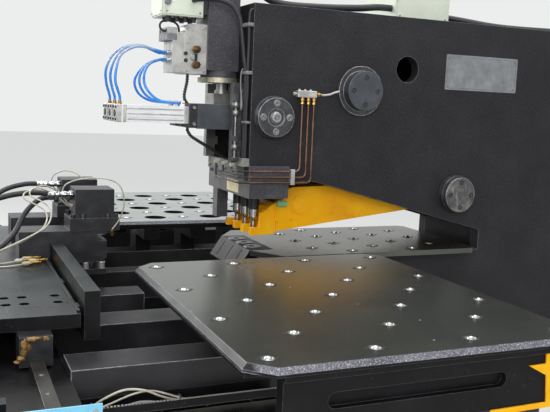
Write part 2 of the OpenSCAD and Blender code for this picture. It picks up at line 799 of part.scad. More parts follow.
// Lubrication manifold on the near side plate, its fittings and the bent pipes
lube_x = [143, 174, 202];
lube_z = [jaw_z + 60, jaw_z + 33, jaw_z + 8];
lube_y = -half_w - 28;
lube_top = jaw_z + 392;
lube_front_x = -nose_len - 36;
lube_front_y = [-190, -85, 20];
pipe_d = 9;
pipe_bend = 22;
module lubrication_manifold() {
    color("#b9b39b") {
        span([122, -half_w - 34, lube_top], [328, -half_w, lube_top + 32]);
        for (x = lube_x) rod_along_z(x, lube_y, lube_top - 26, lube_top, 18);
        rod_along_x(104, 122, -half_w - 17, lube_top + 16, 22);
        rod_along_z(110, -half_w - 17, lube_top + 24, lube_top + 52, 12);
        for (x = [150, 190, 230, 270, 310])
            rod_along_z(x, -half_w - 17, lube_top + 32, lube_top + 40, 16);
        for (y = lube_front_y) {
            rod_along_x(lube_front_x - 30, lube_front_x, y, jaw_z + 72, 18);
            rod_along_z(lube_front_x - 20, y, jaw_z + 62, jaw_z + 72, 14);
        }
        difference() {
            span([99, lube_y - 8, lube_z[2] - 20], [119, -half_w, lube_z[0]]);
            for (z = lube_z)
                rod_along_x(98, 120, lube_y, z - 10, pipe_d + gap);
        }
    }
}

// Points of a quarter bend from one unit direction to another round a centre
function bend(c, r, from, to) = [for (a = [0:22.5:90]) c + r * (cos(a) * from + sin(a) * to)];
function pipe_route(x, z, y) = let (
    b = pipe_bend,
    fx = lube_front_x - 20,
    top = jaw_z + 62
) concat(
    [[x, lube_y, lube_top - 26]],
    bend([x - b, lube_y, z + b], b, [1, 0, 0], [0, 0, -1]),
    bend([fx + b, lube_y + b, z], b, [0, -1, 0], [-1, 0, 0]),
    [[fx, y - 14, z], [fx, y - 4, z + 4], [fx, y, z + 10], [fx, y, top]]
);
module copper_pipes() {
    color("#8a5a3c") for (i = [0:2])
        tube(pipe_route(lube_x[i], lube_z[i] - 10, lube_front_y[i]), pipe_d, 8);
}

// Bare nameplate on the near side plate
plate_x = 940;
plate_len = 446;
plate_h = 175;
plate_drop = 335;
module nameplate() {
    color("#bfc1c4") across_y(-half_w - 2, -half_w)
        round_rect([plate_x, top_z - plate_drop], [plate_x + plate_len, top_z - plate_drop + plate_h], 6);
}

// Junction box beside the cylinder block and the small cabinet on the frame
box_left = -470;
box_drop = 68;
box_h = 240;
cabinet_x = 735;
cabinet_w = 325;
cabinet_y = -100;
module cabinets() {
    z = top_z - box_drop;
    color("#d5dccb") {
        span([box_left, -110, z], [box_right, 90, z + box_h]);
        span([cabinet_x, cabinet_y, top_z], [cabinet_x + cabinet_w, cabinet_y + 300, top_z + cabinet_w]);
    }
}
module cable_glands() {
    color("#26262a") for (i = [0:3], j = [0, 1])
        rod_along_z(box_left + 35 + 40 * i, -70 + 60 * j, top_z - box_drop - 22, top_z - box_drop, 22);
}
module valve_island() {
    z0 = block_z + 1;
    x0 = -357;
    z1 = z0 + 226;
    r = 30;
    color("#a8a6a2") {
        across_y(-80, 80) polygon(concat(
            [[x0, z0], [block_front, z0], [block_front, z1]],
            [for (a = [90:15:180]) [x0 + r + r * cos(a), z1 - r + r * sin(a)]]
        ));
        across_y(-78, 78) polygon([
            [x0 - 56, z0 + 3], [x0 - gap, z0 + 3], [x0 - gap, z0 + 184], [x0 - 33, z0 + 184],
            [x0 - 33, z0 + 146], [x0 - 56, z0 + 146]
        ]);
        for (i = [-1:1]) {
            span([x0 - 81, i * 52 - 22, z0 + 147], [x0 - 33 - gap, i * 52 + 22, z0 + 204]);
            for (z = [1724, 1758]) rod_along_x(-429, x0 - 55, i * 40, z, 16);
        }
    }
}
module air_hoses() {
    color("#2a7fd0") for (r = air_routes) tube(r, 12, 8);
}
module top_hoses() {
    color("#1f1f23") {
        for (r = top_routes) tube(r, 34, 8);
        tube(nose_route, 22, 8);
    }
}

// Yellow guard under the near table's right corner
module side_guard() {
    z = table_top - plate_t - sub_t - gap;
    y = -near_gap - outer_w + 35;
    color("#e0b21a") across_y(y - 28, y - 22) polygon([
        [372, z], [393, z - 178], [145, z - 180], [145, z - 163], [360, z - 161], [352, z - 73],
        [280, z - 35], [348, z - 34], [346, z]
    ]);
}

// Guide columns on both sides of the ram, and the rod with ball ends on the near one
column_x = [-160, -114];
column_y = [ram_half + 3.3, ram_half + 40];
module ram_guides() {
    x = -150;
    y = -column_y[1] - 15.3;
    color("#3f3f44") for (s = [-1, 1]) {
        span([column_x[0], min(s * column_y[0], s * column_y[1]), ledge_z + gap],
            [column_x[1], max(s * column_y[0], s * column_y[1]), flange_z]);
        for (z = [ledge_z + 60, flange_z - 50])
            span([column_x[1] + gap, min(s * column_y[0], s * (inner_y + 10)), z],
                [-nose_len - gap, max(s * column_y[0], s * (inner_y + 10)), z + 40]);
    }
    color("#c8cacc") {
        rod_along_z(x, y, ledge_z + 10, ledge_z + 310, 10);
        for (z = [71, 226, 262]) translate([x, y, ledge_z + z]) sphere(d = 30);
        for (z = [[10, 22], [98, 122], [280, 310]])
            span([x - 9, y - 7, ledge_z + z[0]], [x + 9, -column_y[1] - gap, ledge_z + z[1]]);
    }
}

// Long bases on the floor with ties to the press
tie_x = [[-1750, -1630], [200, 320]];
tie_h = 120;
module long_bases() {
    color("#333237") {
        for (y = [-base_y, base_y])
            span([base_left, y - base_w / 2, 0], [base_right, y + base_w / 2, long_rail_z]);
        span([base_left, -base_w / 2, 0], [floor_lo[0], base_w / 2, drive_top]);
        for (s = [-1, 1]) {
            a = s > 0 ? base_w / 2 : -base_y + base_w / 2;
            b = s > 0 ? base_y - base_w / 2 : -base_w / 2;
            span([tie_x[0][0], a + gap, 0], [tie_x[0][1], b - gap, tie_h]);
            c = s > 0 ? floor_hi[1] : -base_y + base_w / 2 + gap;
            d = s > 0 ? base_y - base_w / 2 - gap : floor_lo[1];
            span([tie_x[1][0], c, 0], [tie_x[1][1], d, tie_h]);
        }
    }
}
module long_rails() {
    color("#b0b2b4") for (y = [-base_y, base_y])
        span([base_left + 40, y - rail_w / 2, long_rail_z],
            [base_right - 40, y + rail_w / 2, long_rail_z + rail_h]);
}

// A bearing block that straddles a rail, with its running gap
module long_bearings() {
    color("#55585c") {
        for (x = long_bear_x, y = [-base_y, base_y]) difference() {
            span([x, y - bear_w / 2, long_rail_z + 10], [x + bear_len, y + bear_w / 2, beam_z]);
            span([x - 1, y - rail_w / 2 - gap, long_rail_z],
                [x + bear_len + 1, y + rail_w / 2 + gap, long_rail_z + rail_h + gap]);
        }
        difference() {
            span([-1340, -60, long_axis_z - 45], [-1220, 60, beam_z]);
            rod_along_x(-1341, -1219, 0, long_axis_z, screw_d + 2 * fit);
        }
    }
}

// Screw supports and motor of the long slide
module long_drive() {
    color("#3c3d41") {
        for (x = [base_left + 10, -200]) difference() {
            span([x, -60, drive_top], [x + 50, 60, long_axis_z + 45]);
            rod_along_x(x - 1, x + 51, 0, long_axis_z, screw_d - 10 + 2 * fit);
        }
        rod_along_x(base_left - 210, base_left + 9, 0, long_axis_z, 105);
        span([base_left, -58, drive_top], [base_left + 10, 58, long_axis_z + 45]);
    }
}
module ball_screw(length, shoulder) {
    cylinder(h = length, d = screw_d - 10);
    translate([0, 0, shoulder]) cylinder(h = length - 2 * shoulder, d = screw_d);
}
module long_screw() {
    x0 = base_left + 10 + gap;
    color("#a8abae") translate([x0, 0, long_axis_z]) rotate([0, 90, 0])
        ball_screw(-150 - x0, 52);
}

// Cross beams, the bed across them and its rails
module cross_beams() {
    color("#39383c") {
        for (b = beam_y) span([-bed_right, b[0], beam_z], [beam_right, b[1], beam_top]);
        span([-bed_right, stub_y[0], beam_z], [stub_right, stub_y[1], beam_top]);
    }
}
module cross_bed() {
    color("#39383c") span([bed_left, bed_near, beam_z], [-bed_right, bed_far, bed_top]);
}
module cross_rails() {
    color("#a9abac") for (x = rail_x)
        span([x - rail_w / 2, bed_near + 20, bed_top], [x + rail_w / 2, bed_far - 70, bed_top + rail_h]);
}
module cross_bearings() {
    color("#55585c") {
        for (x = rail_x, y = cross_bear_y) difference() {
            span([x - bear_w / 2, y, bed_top + 10], [x + bear_w / 2, y + bear_len, carriage_z]);
            span([x - rail_w / 2 - gap, y - 1, bed_top],
                [x + rail_w / 2 + gap, y + bear_len + 1, bed_top + rail_h + gap]);
        }
        difference() {
            span([cross_axis_x - 60, 300, cross_axis_z - 40], [cross_axis_x + 60, 420, carriage_z]);
            rod_along_y(cross_axis_x, 299, 421, cross_axis_z, screw_d + 2 * fit);
        }
    }
}
module cross_drive() {
    color("#3c3d41") {
        for (y = [bed_near + 100, bed_far - 100]) difference() {
            span([cross_axis_x - 60, y, bed_top], [cross_axis_x + 60, y + 50, cross_axis_z + 40]);
            rod_along_y(cross_axis_x, y - 1, y + 51, cross_axis_z, screw_d - 10 + 2 * fit);
        }
        rod_along_y(cross_axis_x, bed_far - 48, bed_far + 160, cross_axis_z, 88);
        span([cross_axis_x - 55, bed_far - 50, bed_top], [cross_axis_x + 55, bed_far - 40, cross_axis_z + 40]);
    }
}
module cross_screw() {
    y0 = bed_near + 100;
    color("#a8abae") translate([cross_axis_x, y0, cross_axis_z]) rotate([-90, 0, 0])
        ball_screw(bed_far - 50 - gap - y0, 52);
}
cover_t = 6;
cover_low = 300;
module bed_end_cover() {
    color("#7cc3df") span([bed_left, bed_near - cover_t, cover_low],
        [-bed_right + 15, bed_near, carriage_z - 17]);
}

// Outer tables, their sub-plates and posts
module cut_table(x0, x1, y0, y1, c) {
    polygon([
        [x0 + c, y0], [x1 - c, y0], [x1, y0 + c], [x1, y1 - c], [x1 - c, y1], [x0 + c, y1],
        [x0, y1 - c], [x0, y0 + c]
    ]);
}
function near_spots() = [for (i = [0:cols], j = [0:near_rows]) if (stagger(i, j))
    [first_x + grid_x * i, first_near_y + grid_y * j]];
function far_spots(want) = [for (i = [0:cols], j = [0:far_rows]) if (stagger(i, j) == want)
    [first_x + grid_x * i, first_far_y + grid_y * j]];
sub_in = 2;
sub_w = 90;
sub_h = 60;
side_w = 43;
side_z = beam_top;
sub_x = [-330, -55, 220];
post_beams = [beam_y[0], beam_y[1], beam_y[3], beam_y[4]];
edge_out = 8;
module table_plate(y0, y1, c) {
    z0 = table_top - plate_t;
    x0 = -outer_left;
    x1 = outer_len - outer_left;
    hull() {
        flat(z0, table_top - 2 * edge_out)
            offset(delta = edge_out) cut_table(x0, x1, y0, y1, c);
        flat(z0, table_top) offset(delta = -edge_out) cut_table(x0, x1, y0, y1, c);
    }
}
module near_table() {
    color("#5f6158") difference() {
        table_plate(-near_gap - outer_w, -near_gap, corner_cut);
        for (s = near_spots())
            rod_along_z(s[0], s[1], table_top - plate_t - 1, table_top + 1, cup_d);
    }
}
module far_table() {
    color("#b4b8b6") difference() {
        table_plate(far_gap, far_gap + outer_w, corner_cut / 3);
        for (s = far_spots(false))
            rod_along_z(s[0], s[1], table_top - plate_t - 1, table_top + 1, cup_d);
        for (s = far_spots(true))
            rod_along_z(s[0], s[1], table_top - plate_t - 1, table_top + 1, far_hole_d);
    }
}
module table_balls() {
    color("#c9ccd0") {
        for (s = near_spots()) ball_unit(s[0], s[1]);
        for (s = far_spots(false)) ball_unit(s[0], s[1]);
    }
}
module table_frames() {
    z1 = table_top - plate_t;
    z0 = z1 - sub_t;
    x0 = -outer_left + sub_in;
    x1 = outer_len - outer_left - sub_in;
    w = sub_w;
    color("#2f2f33") {
        for (s = [-1, 1]) {
            t = s < 0 ? -near_gap - outer_w + sub_in : far_gap + sub_in;
            t1 = t + outer_w - 2 * sub_in;
            side = s < 0 ? t + 12 : t1 - 12 - side_w;
            for (y = [t, t1 - w])
                span([x0 + w + gap, y, z0], [x1 - w - gap, y + w, z1]);
            for (x = [x0, x1 - w])
                span([x, t + corner_cut, z0], [x + w, t1 - corner_cut, z1]);
            for (x = sub_x)
                span([x, s < 0 ? side + side_w + gap : t, z0 - sub_h],
                    [x + w, s < 0 ? t1 : side - gap, z0 - gap]);
            difference() {
                span([x0 + 90, side, side_z], [x1 - 90, side + side_w, z0 - gap]);
                for (y = [s < 0 ? side : side + side_w]) {
                    span([-390, y - 24, side_z + 72], [176, y + 24, side_z + 120]);
                    for (x = [-390, 176]) rod_along_y(x, y - 24, y + 24, side_z + 96, 48);
                }
            }
        }
        for (x = sub_x, b = post_beams)
            span([x, b[0] + 5, beam_top], [x + w, b[1] - 5, z0 - sub_h - gap]);
    }
}

// Clamp carriage
module carriage_plate() {
    x1 = -carriage_right;
    x0 = x1 - carriage_w;
    y1 = carriage_near + carriage_len;
    color("#4e555b") {
        difference() {
            span([x0, carriage_near, carriage_z], [x1, y1, carriage_top]);
            for (x = [-1240, -1175, -1110, -989], y = [-645, -545])
                rod_along_z(x, y, carriage_z - 1, carriage_top + 1, 38);
        }
        span([x1 - 14, carriage_near + 8, carriage_top], [x1 - 2, clamp_y0 - 10, carriage_top + 12]);
    }
}
module locating_bar() {
    color("#4a4d51") {
        span([bar_x, bar_near, bar_top - bar_h], [bar_x + bar_w, clamp_y0, bar_top]);
        for (y = [-700, -300, 50])
            span([-carriage_right, y, carriage_z + 8], [bar_x, y + 60, carriage_top - 8]);
    }
}

// Hydraulic clamps: foot, mouth block, top plate and cylinder block
module clamp_body(y0) {
    y1 = y0 + clamp_w;
    split = clamp_nose - mouth_deep - 13;
    difference() {
        union() {
            across_y(y0, y1) polygon([
                [-1060, carriage_top], [-carriage_right, carriage_top],
                [-carriage_right, carriage_top - 23], [split, carriage_top - 23],
                [clamp_nose, carriage_top - 3], [clamp_nose, clamp_plate_z], [-1060, clamp_plate_z]
            ]);
            span([-830, y0 - 8, clamp_plate_z], [clamp_nose + 60, y1 + 8, clamp_block_z]);
            span([-805, y0 + 5, clamp_block_z], [clamp_nose + 35, y1 - 5, clamp_block_z + clamp_block_h]);
        }
        span([clamp_nose - mouth_deep, y0 - 1, mouth_z], [clamp_nose + 1, y1 + 1, mouth_z + mouth_h]);
        rod_along_z(jaw_x, (y0 + y1) / 2, mouth_z, clamp_block_z + 21, 36 + 2 * fit);
        rod_along_z(jaw_x, (y0 + y1) / 2, clamp_block_z + 20, clamp_block_z + 110, 60);
    }
    for (x = [-815, clamp_nose + 47], y = [y0 + 12, y1 - 12])
        translate([x, y, clamp_block_z]) cap_screw(20, 18);
    for (x = [clamp_nose - 97, clamp_nose - 21], y = [y0 + 15, y1 - 15])
        rod_along_z(x, y, foot_top, x < split ? carriage_top - 23 : carriage_top - 3, 28);
    span([clamp_nose - 140, y0, foot_top - foot_t], [clamp_nose, y1, foot_top]);
}
module clamp_bodies() {
    color("#35373b") for (y = clamp_ys) clamp_body(y);
}
module clamp_jaw(y0) {
    y = y0 + clamp_w / 2;
    top = mouth_z + mouth_h;
    pad_z = mouth_z + sheet_t + jaw_travel;
    color("#8f9397") {
        rod_along_z(jaw_x, y, top - 1, clamp_block_z + 80, 36);
        rod_along_z(jaw_x, y, clamp_block_z + 80, clamp_block_z + 100, 60 - 2 * fit);
        span([clamp_nose - mouth_deep + 2, y - 40, pad_z], [clamp_nose - 2, y + 40, top - gap]);
    }
}
module clamp_jaw_1() { clamp_jaw(clamp_ys[0]); }
module clamp_jaw_2() { clamp_jaw(clamp_ys[1]); }
module hydraulic_hoses() {
    color("#1f1f23") for (r = clamp_routes) tube(r, 26, 8);
}
module hose_fittings() {
    color("#c6c8c9") {
        for (r = clamp_routes) rod_along_x(r[0][0], -805, r[0][1], r[0][2], 24);
        for (r = clamp_routes) {
            e = r[len(r) - 1];
            rod_along_z(e[0], e[1], carriage_top, e[2], 30);
        }
    }
}

floor_plate();
near_side_plate();
far_side_plate();
frame_webs();
die_table();
die_holder();
dies();
die_table_balls();
punch_holder();
ram_cylinder();
cylinder_flange();
pin_caps();
arm_pin();
lubrication_manifold();
copper_pipes();
nameplate();
cabinets();
cable_glands();
valve_island();
air_hoses();
top_hoses();
holddown_cylinder();
side_guard();
long_bases();
long_rails();
long_drive();
long_screw();
ram_guides();
cross_beams();
cross_bed();
cross_rails();
near_table();
far_table();
table_frames();
table_balls();
long_bearings();
cross_drive();
cross_screw();
bed_end_cover();
carriage_plate();
cross_bearings();
locating_bar();
clamp_bodies();
hydraulic_hoses();
hose_fittings();
clamp_jaw_1();
clamp_jaw_2();
stripper_arm();
holddown_rod();
ram();
air_cylinders();
wedge_1();
wedge_2();
wedge_3();
punch_1();
punch_2();
punch_3();
punch_spring_1();
punch_spring_2();
punch_spring_3();
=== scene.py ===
import math
import bpy
import numpy as np
from mathutils import Matrix


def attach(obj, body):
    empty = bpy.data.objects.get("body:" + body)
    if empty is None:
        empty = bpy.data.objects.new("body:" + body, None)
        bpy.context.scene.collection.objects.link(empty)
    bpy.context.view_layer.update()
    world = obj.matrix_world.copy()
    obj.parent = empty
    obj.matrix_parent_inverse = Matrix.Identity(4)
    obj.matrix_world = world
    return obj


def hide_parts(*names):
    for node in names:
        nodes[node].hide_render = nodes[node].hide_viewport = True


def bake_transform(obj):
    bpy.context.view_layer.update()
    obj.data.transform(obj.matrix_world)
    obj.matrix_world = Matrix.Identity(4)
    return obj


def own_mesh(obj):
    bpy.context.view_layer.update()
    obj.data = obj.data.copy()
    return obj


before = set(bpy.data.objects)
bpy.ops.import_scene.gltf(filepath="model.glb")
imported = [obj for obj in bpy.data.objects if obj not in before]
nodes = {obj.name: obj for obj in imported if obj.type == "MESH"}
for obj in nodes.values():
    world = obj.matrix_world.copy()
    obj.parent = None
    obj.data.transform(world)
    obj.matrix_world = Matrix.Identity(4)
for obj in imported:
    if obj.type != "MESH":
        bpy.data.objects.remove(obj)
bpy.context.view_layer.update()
scene = bpy.context.scene
print("frame loaded", len(nodes), "nodes")

# camera: solved from the rows of transfer balls and the vertical edges
cameraSetup = {"focalPixels": 771.0, "width": 550, "sensor": 36, "pitch": 7.494, "roll": 2.389, "yaw": 23.497,
               "place": (-1.380, -3.542, 1.540)}


def placeBy(thing, *columns):
    # the thing's matrix from its three axes and its place
    placed = np.eye(4)
    placed[:3] = np.stack(columns, -1)
    thing.matrix_world = Matrix(placed.tolist())


def aimCamera(setup):
    # view direction from yaw and pitch, then the image axes turned by the roll
    yaw, pitch, roll = (math.radians(setup[k]) for k in ("yaw", "pitch", "roll"))
    ahead = np.array([math.sin(yaw) * math.cos(pitch), math.cos(yaw) * math.cos(pitch), -math.sin(pitch)])
    right = np.array([math.cos(yaw), -math.sin(yaw), 0.0])
    up = np.cross(right, ahead)
    right, up = (math.cos(roll) * right + math.sin(roll) * up, math.cos(roll) * up - math.sin(roll) * right)
    lens = bpy.data.cameras.new("photoLens")
    lens.sensor_width = setup["sensor"]
    lens.lens = setup["focalPixels"] / setup["width"] * setup["sensor"]
    lens.clip_end = 100
    camera = bpy.data.objects.new("photoCamera", lens)
    scene.collection.objects.link(camera)
    placeBy(camera, right, up, -ahead, setup["place"])
    scene.camera = camera


aimCamera(cameraSetup)


def linear(hexColour):
    # six hex digits of sRGB to linear light, with alpha 1
    parts = [int(hexColour[i:i + 2], 16) / 255 for i in (0, 2, 4)]
    return tuple(c / 12.92 if c <= 0.04045 else ((c + 0.055) / 1.055) ** 2.4 for c in parts) + (1.0,)


def addNode(tree, kind, settings=None, links=None):
    # one node with its settings and links; a setting is an input, by name or number, or a property
    made = tree.nodes.new("ShaderNode" + kind)
    for key, value in (settings or {}).items():
        if key == "stops":
            ramp = made.color_ramp
            while len(ramp.elements) < len(value):
                ramp.elements.new(0.5)
            for element, (place, colour) in zip(ramp.elements, value):
                element.position = place
                element.color = linear(colour)
        elif isinstance(key, int) or key in made.inputs:
            made.inputs[key].default_value = value
        else:
            setattr(made, key, value)
    for key, (source, socket) in (links or {}).items():
        tree.links.new(source.outputs[socket], made.inputs[key])
    return made


def look(slot, colours, patch, rough, grain, depth, specks, **more):
    # one finish in millimetres: three tones over patches, roughness from and to, grain and its depth, wear specks
    plain = {"metal": 0.0, "stretch": (1, 1, 1), "specular": 0.5, "soft": 0}
    return plain | more | {"slot": slot, "colours": colours.split(), "patch": patch, "rough": rough, "grain": grain,
                           "depth": depth, "specks": specks}


# every finish: real material, how it was made, and what that gives the eye
finishLooks = {
    "hammeredPaint": look("frame_paint", "1e1d20 252427 2f2e32", 240, (0.44, 0.6), 6,
        1.3, ("55545a", 0.72, 9), specular=0.22, sparkle=("5c5b61", 0.22),
        edge=(4.5, "aeadb3")),  # thick hammered enamel: a pebbled skin that breaks up the shine
    "litBevelPaint": look("frame_paint", "45454b 56565d 68686f", 90,
        (0.34, 0.5), 4.2, 1.8, ("9a9aa2", 0.7, 6), sparkle=("d2d0dc", 0.6),
        edge=(2, "a7a7ad")),  # the same enamel painted lighter on a bevel that faces the light: a painted highlight, with coarse painted glints
    "satinPaint": look("dark_paint", "1e1d20 262528 302f33", 150, (0.34, 0.54), 14, 0.5, ("6b6a6c", 0.74, 22),
        specular=0.35, edge=(7, "dddbe2")),  # brushed enamel on welded steel: soft waves, edges rubbed bright and given a painted highlight
    "tableShadeBlack": look("dark_paint", "0b0a0c 111012 19181b", 120, (0.34, 0.54), 16, 0.4, ("47464a", 0.73, 20),
        specular=0.18, edge=(3, "74737a")),  # black enamel painted darker still as painted shade under the tables, oily and nearly without texture
    "pressBlock": look("dark_paint", "333236 3c3b40 48474c", 110, (0.4, 0.56), 4.5,
        1.1, ("6b6a70", 0.7, 8), specular=0.4, sparkle=("7b7a82", 0.4),
        edge=(3, "8c8b90")),  # the cylinder block's own enamel, a shade lighter and finer in grain
    "groundPlate": look("worn_table", "5d605a 656862 6e7069", 420, (0.24, 0.28), 2.6,
        0.03, ("70726b", 0.8, 70), metal=0.85, stretch=(0.05, 1, 1), soft=0.3,
        edge=(1.5, "c9c9c2")),  # ground and oiled plate: long reflections, faint smears
    "shadedPlate": look("worn_table", "413d37 4c4841 5a554d", 300, (0.24, 0.3), 2.6, 0.03, ("6a645a", 0.8, 70),
        metal=0.85, stretch=(0.05, 1, 1)),  # the same plate under the nose, painted browner and darker as painted shade and the dark it reflects; oil film unbroken
    "windowLitPlate": look("far_plate", "9b9f9c adb1ae bfc2bf", 240, (0.26, 0.42), 3, 0.1,
        ("83878a", 0.72, 40), metal=0.75, stretch=(0.06, 1, 1), soft=0.2,
        edge=(1.5, "dfe0de")),  # ground plate painted almost white as a painted reflection of the window light
    "blackOxide": look("black_steel", "27272b 323236 404044", 70, (0.32, 0.5), 3, 0.18, ("77777a", 0.76, 12),
        metal=0.45, edge=(2.2, "a3a3a6")),  # blackened steel: grey shine on faces, rubbed corners with a painted highlight
    "capSteel": look("black_steel", "3a3a3e 48484c 5a5a5e", 46, (0.26, 0.44), 3.2, 0.5, ("a3a2a1", 0.7, 6),
        metal=0.5, edge=(7, "efeeee")),  # turned caps under thin paint: speckled rims worn to metal and given a painted highlight
    "ramSteel": look("black_steel", "43464b 505359 5d6167", 90, (0.26, 0.4), 2, 0.08, ("85888c", 0.76, 16),
        metal=0.6, stretch=(1, 1, 0.06), edge=(2, "b5b7ba")),  # ground tool steel gone blue grey under oil
    "capBlack": look("black_steel", "1f1f22 28282b 333336", 30, (0.36, 0.52), 2.4, 0.2, ("5e5e61", 0.74, 9),
        metal=0.3, edge=(1.5, "8c8c8f")),  # blackened screws and recesses: dull, with rubbed corners given a painted highlight
    "machinedSteel": look("bright_steel", "9fa1a3 b3b5b7 c6c7c9", 45, (0.2, 0.34), 1.6, 0.08,
        ("7f7c74", 0.74, 14), metal=0.95, stretch=(1, 1, 0.08), edge=(0.8, "e2e2e3")),  # turned steel with oil film
    "oilySteel": look("bright_steel", "2b2a28 3a3936 4d4b47", 130, (0.22, 0.44), 3, 0.15, ("6a6156", 0.72, 26),
        metal=0.7, stretch=(0.05, 1, 1), edge=(3, "b9b7b3")),  # hardened rails under dark grease and dust
    "machinedGrey": look("bright_steel", "7c7b78 93928e a8a7a3", 60, (0.28, 0.44), 2, 0.1, ("5a5752", 0.68, 16),
        metal=0.7, stretch=(1, 0.06, 1), edge=(1.5, "d0cfcc")),  # milled faces left bare, finger marks and oil
    "toolSteel": look("tool_steel", "a0a3a7 b8bbbf cccfd2", 30, (0.16, 0.28), 1.2, 0.06, ("8d8a82", 0.78, 10),
        metal=0.97, edge=(0.8, "e8e8ea")),  # hardened and ground: mirror bright under a trace of oil
    "yellowEnamel": look("arm_yellow", "f2a400 ffb600 ffc518", 190, (0.24, 0.42), 16, 0.35, ("a0700c", 0.72, 34),
        specular=0.25, edge=(3, "ffd458")),  # glossy enamel with brown oil smears
    "castAlloy": look("cast_alloy", "8f8a76 a8a28f bdb7a6", 34, (0.34, 0.52), 2.4, 0.25, ("5f5a4a", 0.64, 14),
        metal=0.7, stretch=(1, 1, 0.25), edge=(1.2, "dedacb")),  # cast aluminium: warm grey, oil in its pores
    "anodised": look("silver_alloy", "e0e2e5 ebecef f4f5f7", 120, (0.3, 0.4), 1.6, 0.05, ("b7b9bc", 0.76, 18),
        metal=0.2, stretch=(0.05, 1, 1), edge=(1, "f2f2f4")),  # clear anodised extrusion: milky and even
    "valveAlloy": look("silver_alloy", "a5a3a0 b9b7b4 d2d0ce", 70, (0.26, 0.46), 3, 0.35, ("6b6966", 0.66, 13),
        metal=0.5, edge=(4, "f4f3f1")),  # machined manifold block, handled and oily, corners polished and given a painted highlight
    "powderCoat": look("cabinet_paint", "cdd4c2 d7ddcd dfe4d7", 160,
        (0.42, 0.52), 1.8, 0.22, ("b3baa6", 0.76, 30), specular=0.35,
        edge=(2, "eef1e8")),  # powder coat on sheet steel: pale green cream, even
    "blueEnamel": look("blue_cover", "6cb4d2 7cc3df 8fd0e8", 140, (0.28, 0.4), 18, 0.2, ("4e7f94", 0.74, 22),
        specular=0.4, edge=(2, "bfe6f4")),  # sky blue enamel on sheet steel, wiped clean
    "copperPipe": look("copper_tube", "5d4436 775747 93705c", 40, (0.32, 0.5), 2, 0.05, ("4a3022", 0.7, 9),
        metal=0.85),  # drawn copper gone brown
    "blackRubber": look("black_hose", "1c1c1f 262629 323236", 60, (0.46, 0.64), 2.4, 0.3,
        ("5c5b58", 0.76, 12)),  # hydraulic hose: soft black, dust in its pores
    "blueTube": look("blue_hose", "1c6cc0 2b82d6 4a9be6", 30, (0.16, 0.26), 10, 0.03,
        ("7db8ee", 0.78, 9)),  # polyurethane tube: clear blue with a wet shine
    "litTube": look("blue_hose", "7f92b4 98a9c6 b4c0d4", 30, (0.16, 0.26), 10, 0.03,
        ("c8d2e2", 0.78, 9)),  # the same tube painted pale as light falling through it: painted light
    "blackNylon": look("black_plastic", "19191c 232327 2f2f33", 30, (0.4, 0.54), 1.4, 0.12,
        ("4b4b4e", 0.78, 8)),  # moulded nylon: even black
    "springSteel": look("spring_steel", "6d7175 8b8f94 a2a6aa", 20, (0.24, 0.36), 1.2, 0.05, ("55524b", 0.74, 8),
        metal=0.9),  # drawn wire: bright lines, old grease between
    "bluedSteel": look("carriage_steel", "2f3234 3a3e3f 484c4c", 190, (0.24, 0.44), 2.6, 0.15,
        ("7c8386", 0.75, 26), metal=0.55, stretch=(1, 0.06, 1), specular=0.4,
        edge=(2.5, "8f9698")),  # planed plate gone blue grey, wiped with oil
    "brassTurned": look("copper_tube", "7d5f2c a07f45 c2a469", 14, (0.24, 0.38), 1.2, 0.08, ("3f2f18", 0.66, 6),
        metal=0.92, edge=(0.8, "d9c391")),  # turned brass: dull gold with dark tool marks
    "oldBrass": look("copper_tube", "3d2c16 5f472a 8f7347", 12, (0.28, 0.46), 1.2, 0.12, ("241a0e", 0.62, 7),
        metal=0.85, edge=(1.2, "c2a873")),  # sintered silencers darkened by oil mist
    "signalCable": look("black_plastic", "a6a292 bfbbab d2cfc2", 40, (0.4, 0.52), 2, 0.05,
        ("8a8676", 0.78, 8)),  # cream cable sheath, greyed by hands
    "greyCable": look("black_plastic", "6f7072 85868a 9b9ca0", 40, (0.36, 0.5), 2, 0.05,
        ("55565a", 0.78, 8)),  # grey cable sheath, slightly glossy
    "oldGrease": look("copper_tube", "4a3514 7d5c26 b98a3e", 22, (0.18, 0.34), 6, 1.2,
        ("2c2112", 0.66, 14)),  # grease gone brown: wet and lumpy
    "paperLabel": look("arm_yellow", "dcca9f eddcb4 f6e9ca", 40, (0.5, 0.6), 2, 0.04,
        ("8f8266", 0.78, 8)),  # yellowed paper: matt and warm
    "rubbedFace": look("black_steel", "424346 5e5e5e 98958c", 95, (0.24, 0.46), 3, 0.1, ("b4b0a6", 0.66, 26),
        metal=0.5, stretch=(1, 1, 0.5), edge=(1, "d4d2cc")),  # turned face with its paint rubbed away in pale smears
    "cupSteel": look("bright_steel", "777874 93948f aeafa9", 30, (0.24, 0.38), 1.6, 0.08, ("33332f", 0.66, 7),
        metal=0.8, edge=(0.8, "c4c4c0")),  # pressed cups: grey shine, dirt in their rims
    "plateLine": look("silver_alloy", "7d7f83 8f9195 a2a4a8", 60, (0.3, 0.42), 1.4, 0.04, ("5f6164", 0.76, 12),
        metal=0.6),  # etched aluminium plate: even grey
    "greyPlastic": look("black_plastic", "66666a 79797d 8c8c90", 40, (0.38, 0.52), 1.6, 0.08, ("3f3f43", 0.72, 9),
        edge=(1, "b9b9bd")),  # grey moulding: matt, with worn corners given a painted highlight
    "greenMoulding": look("cabinet_paint", "6fae78 86c590 9dd6a5", 20, (0.36, 0.48), 2, 0.05,
        ("3f6344", 0.78, 8)),  # sensor housing: bright green, a soft shine
}
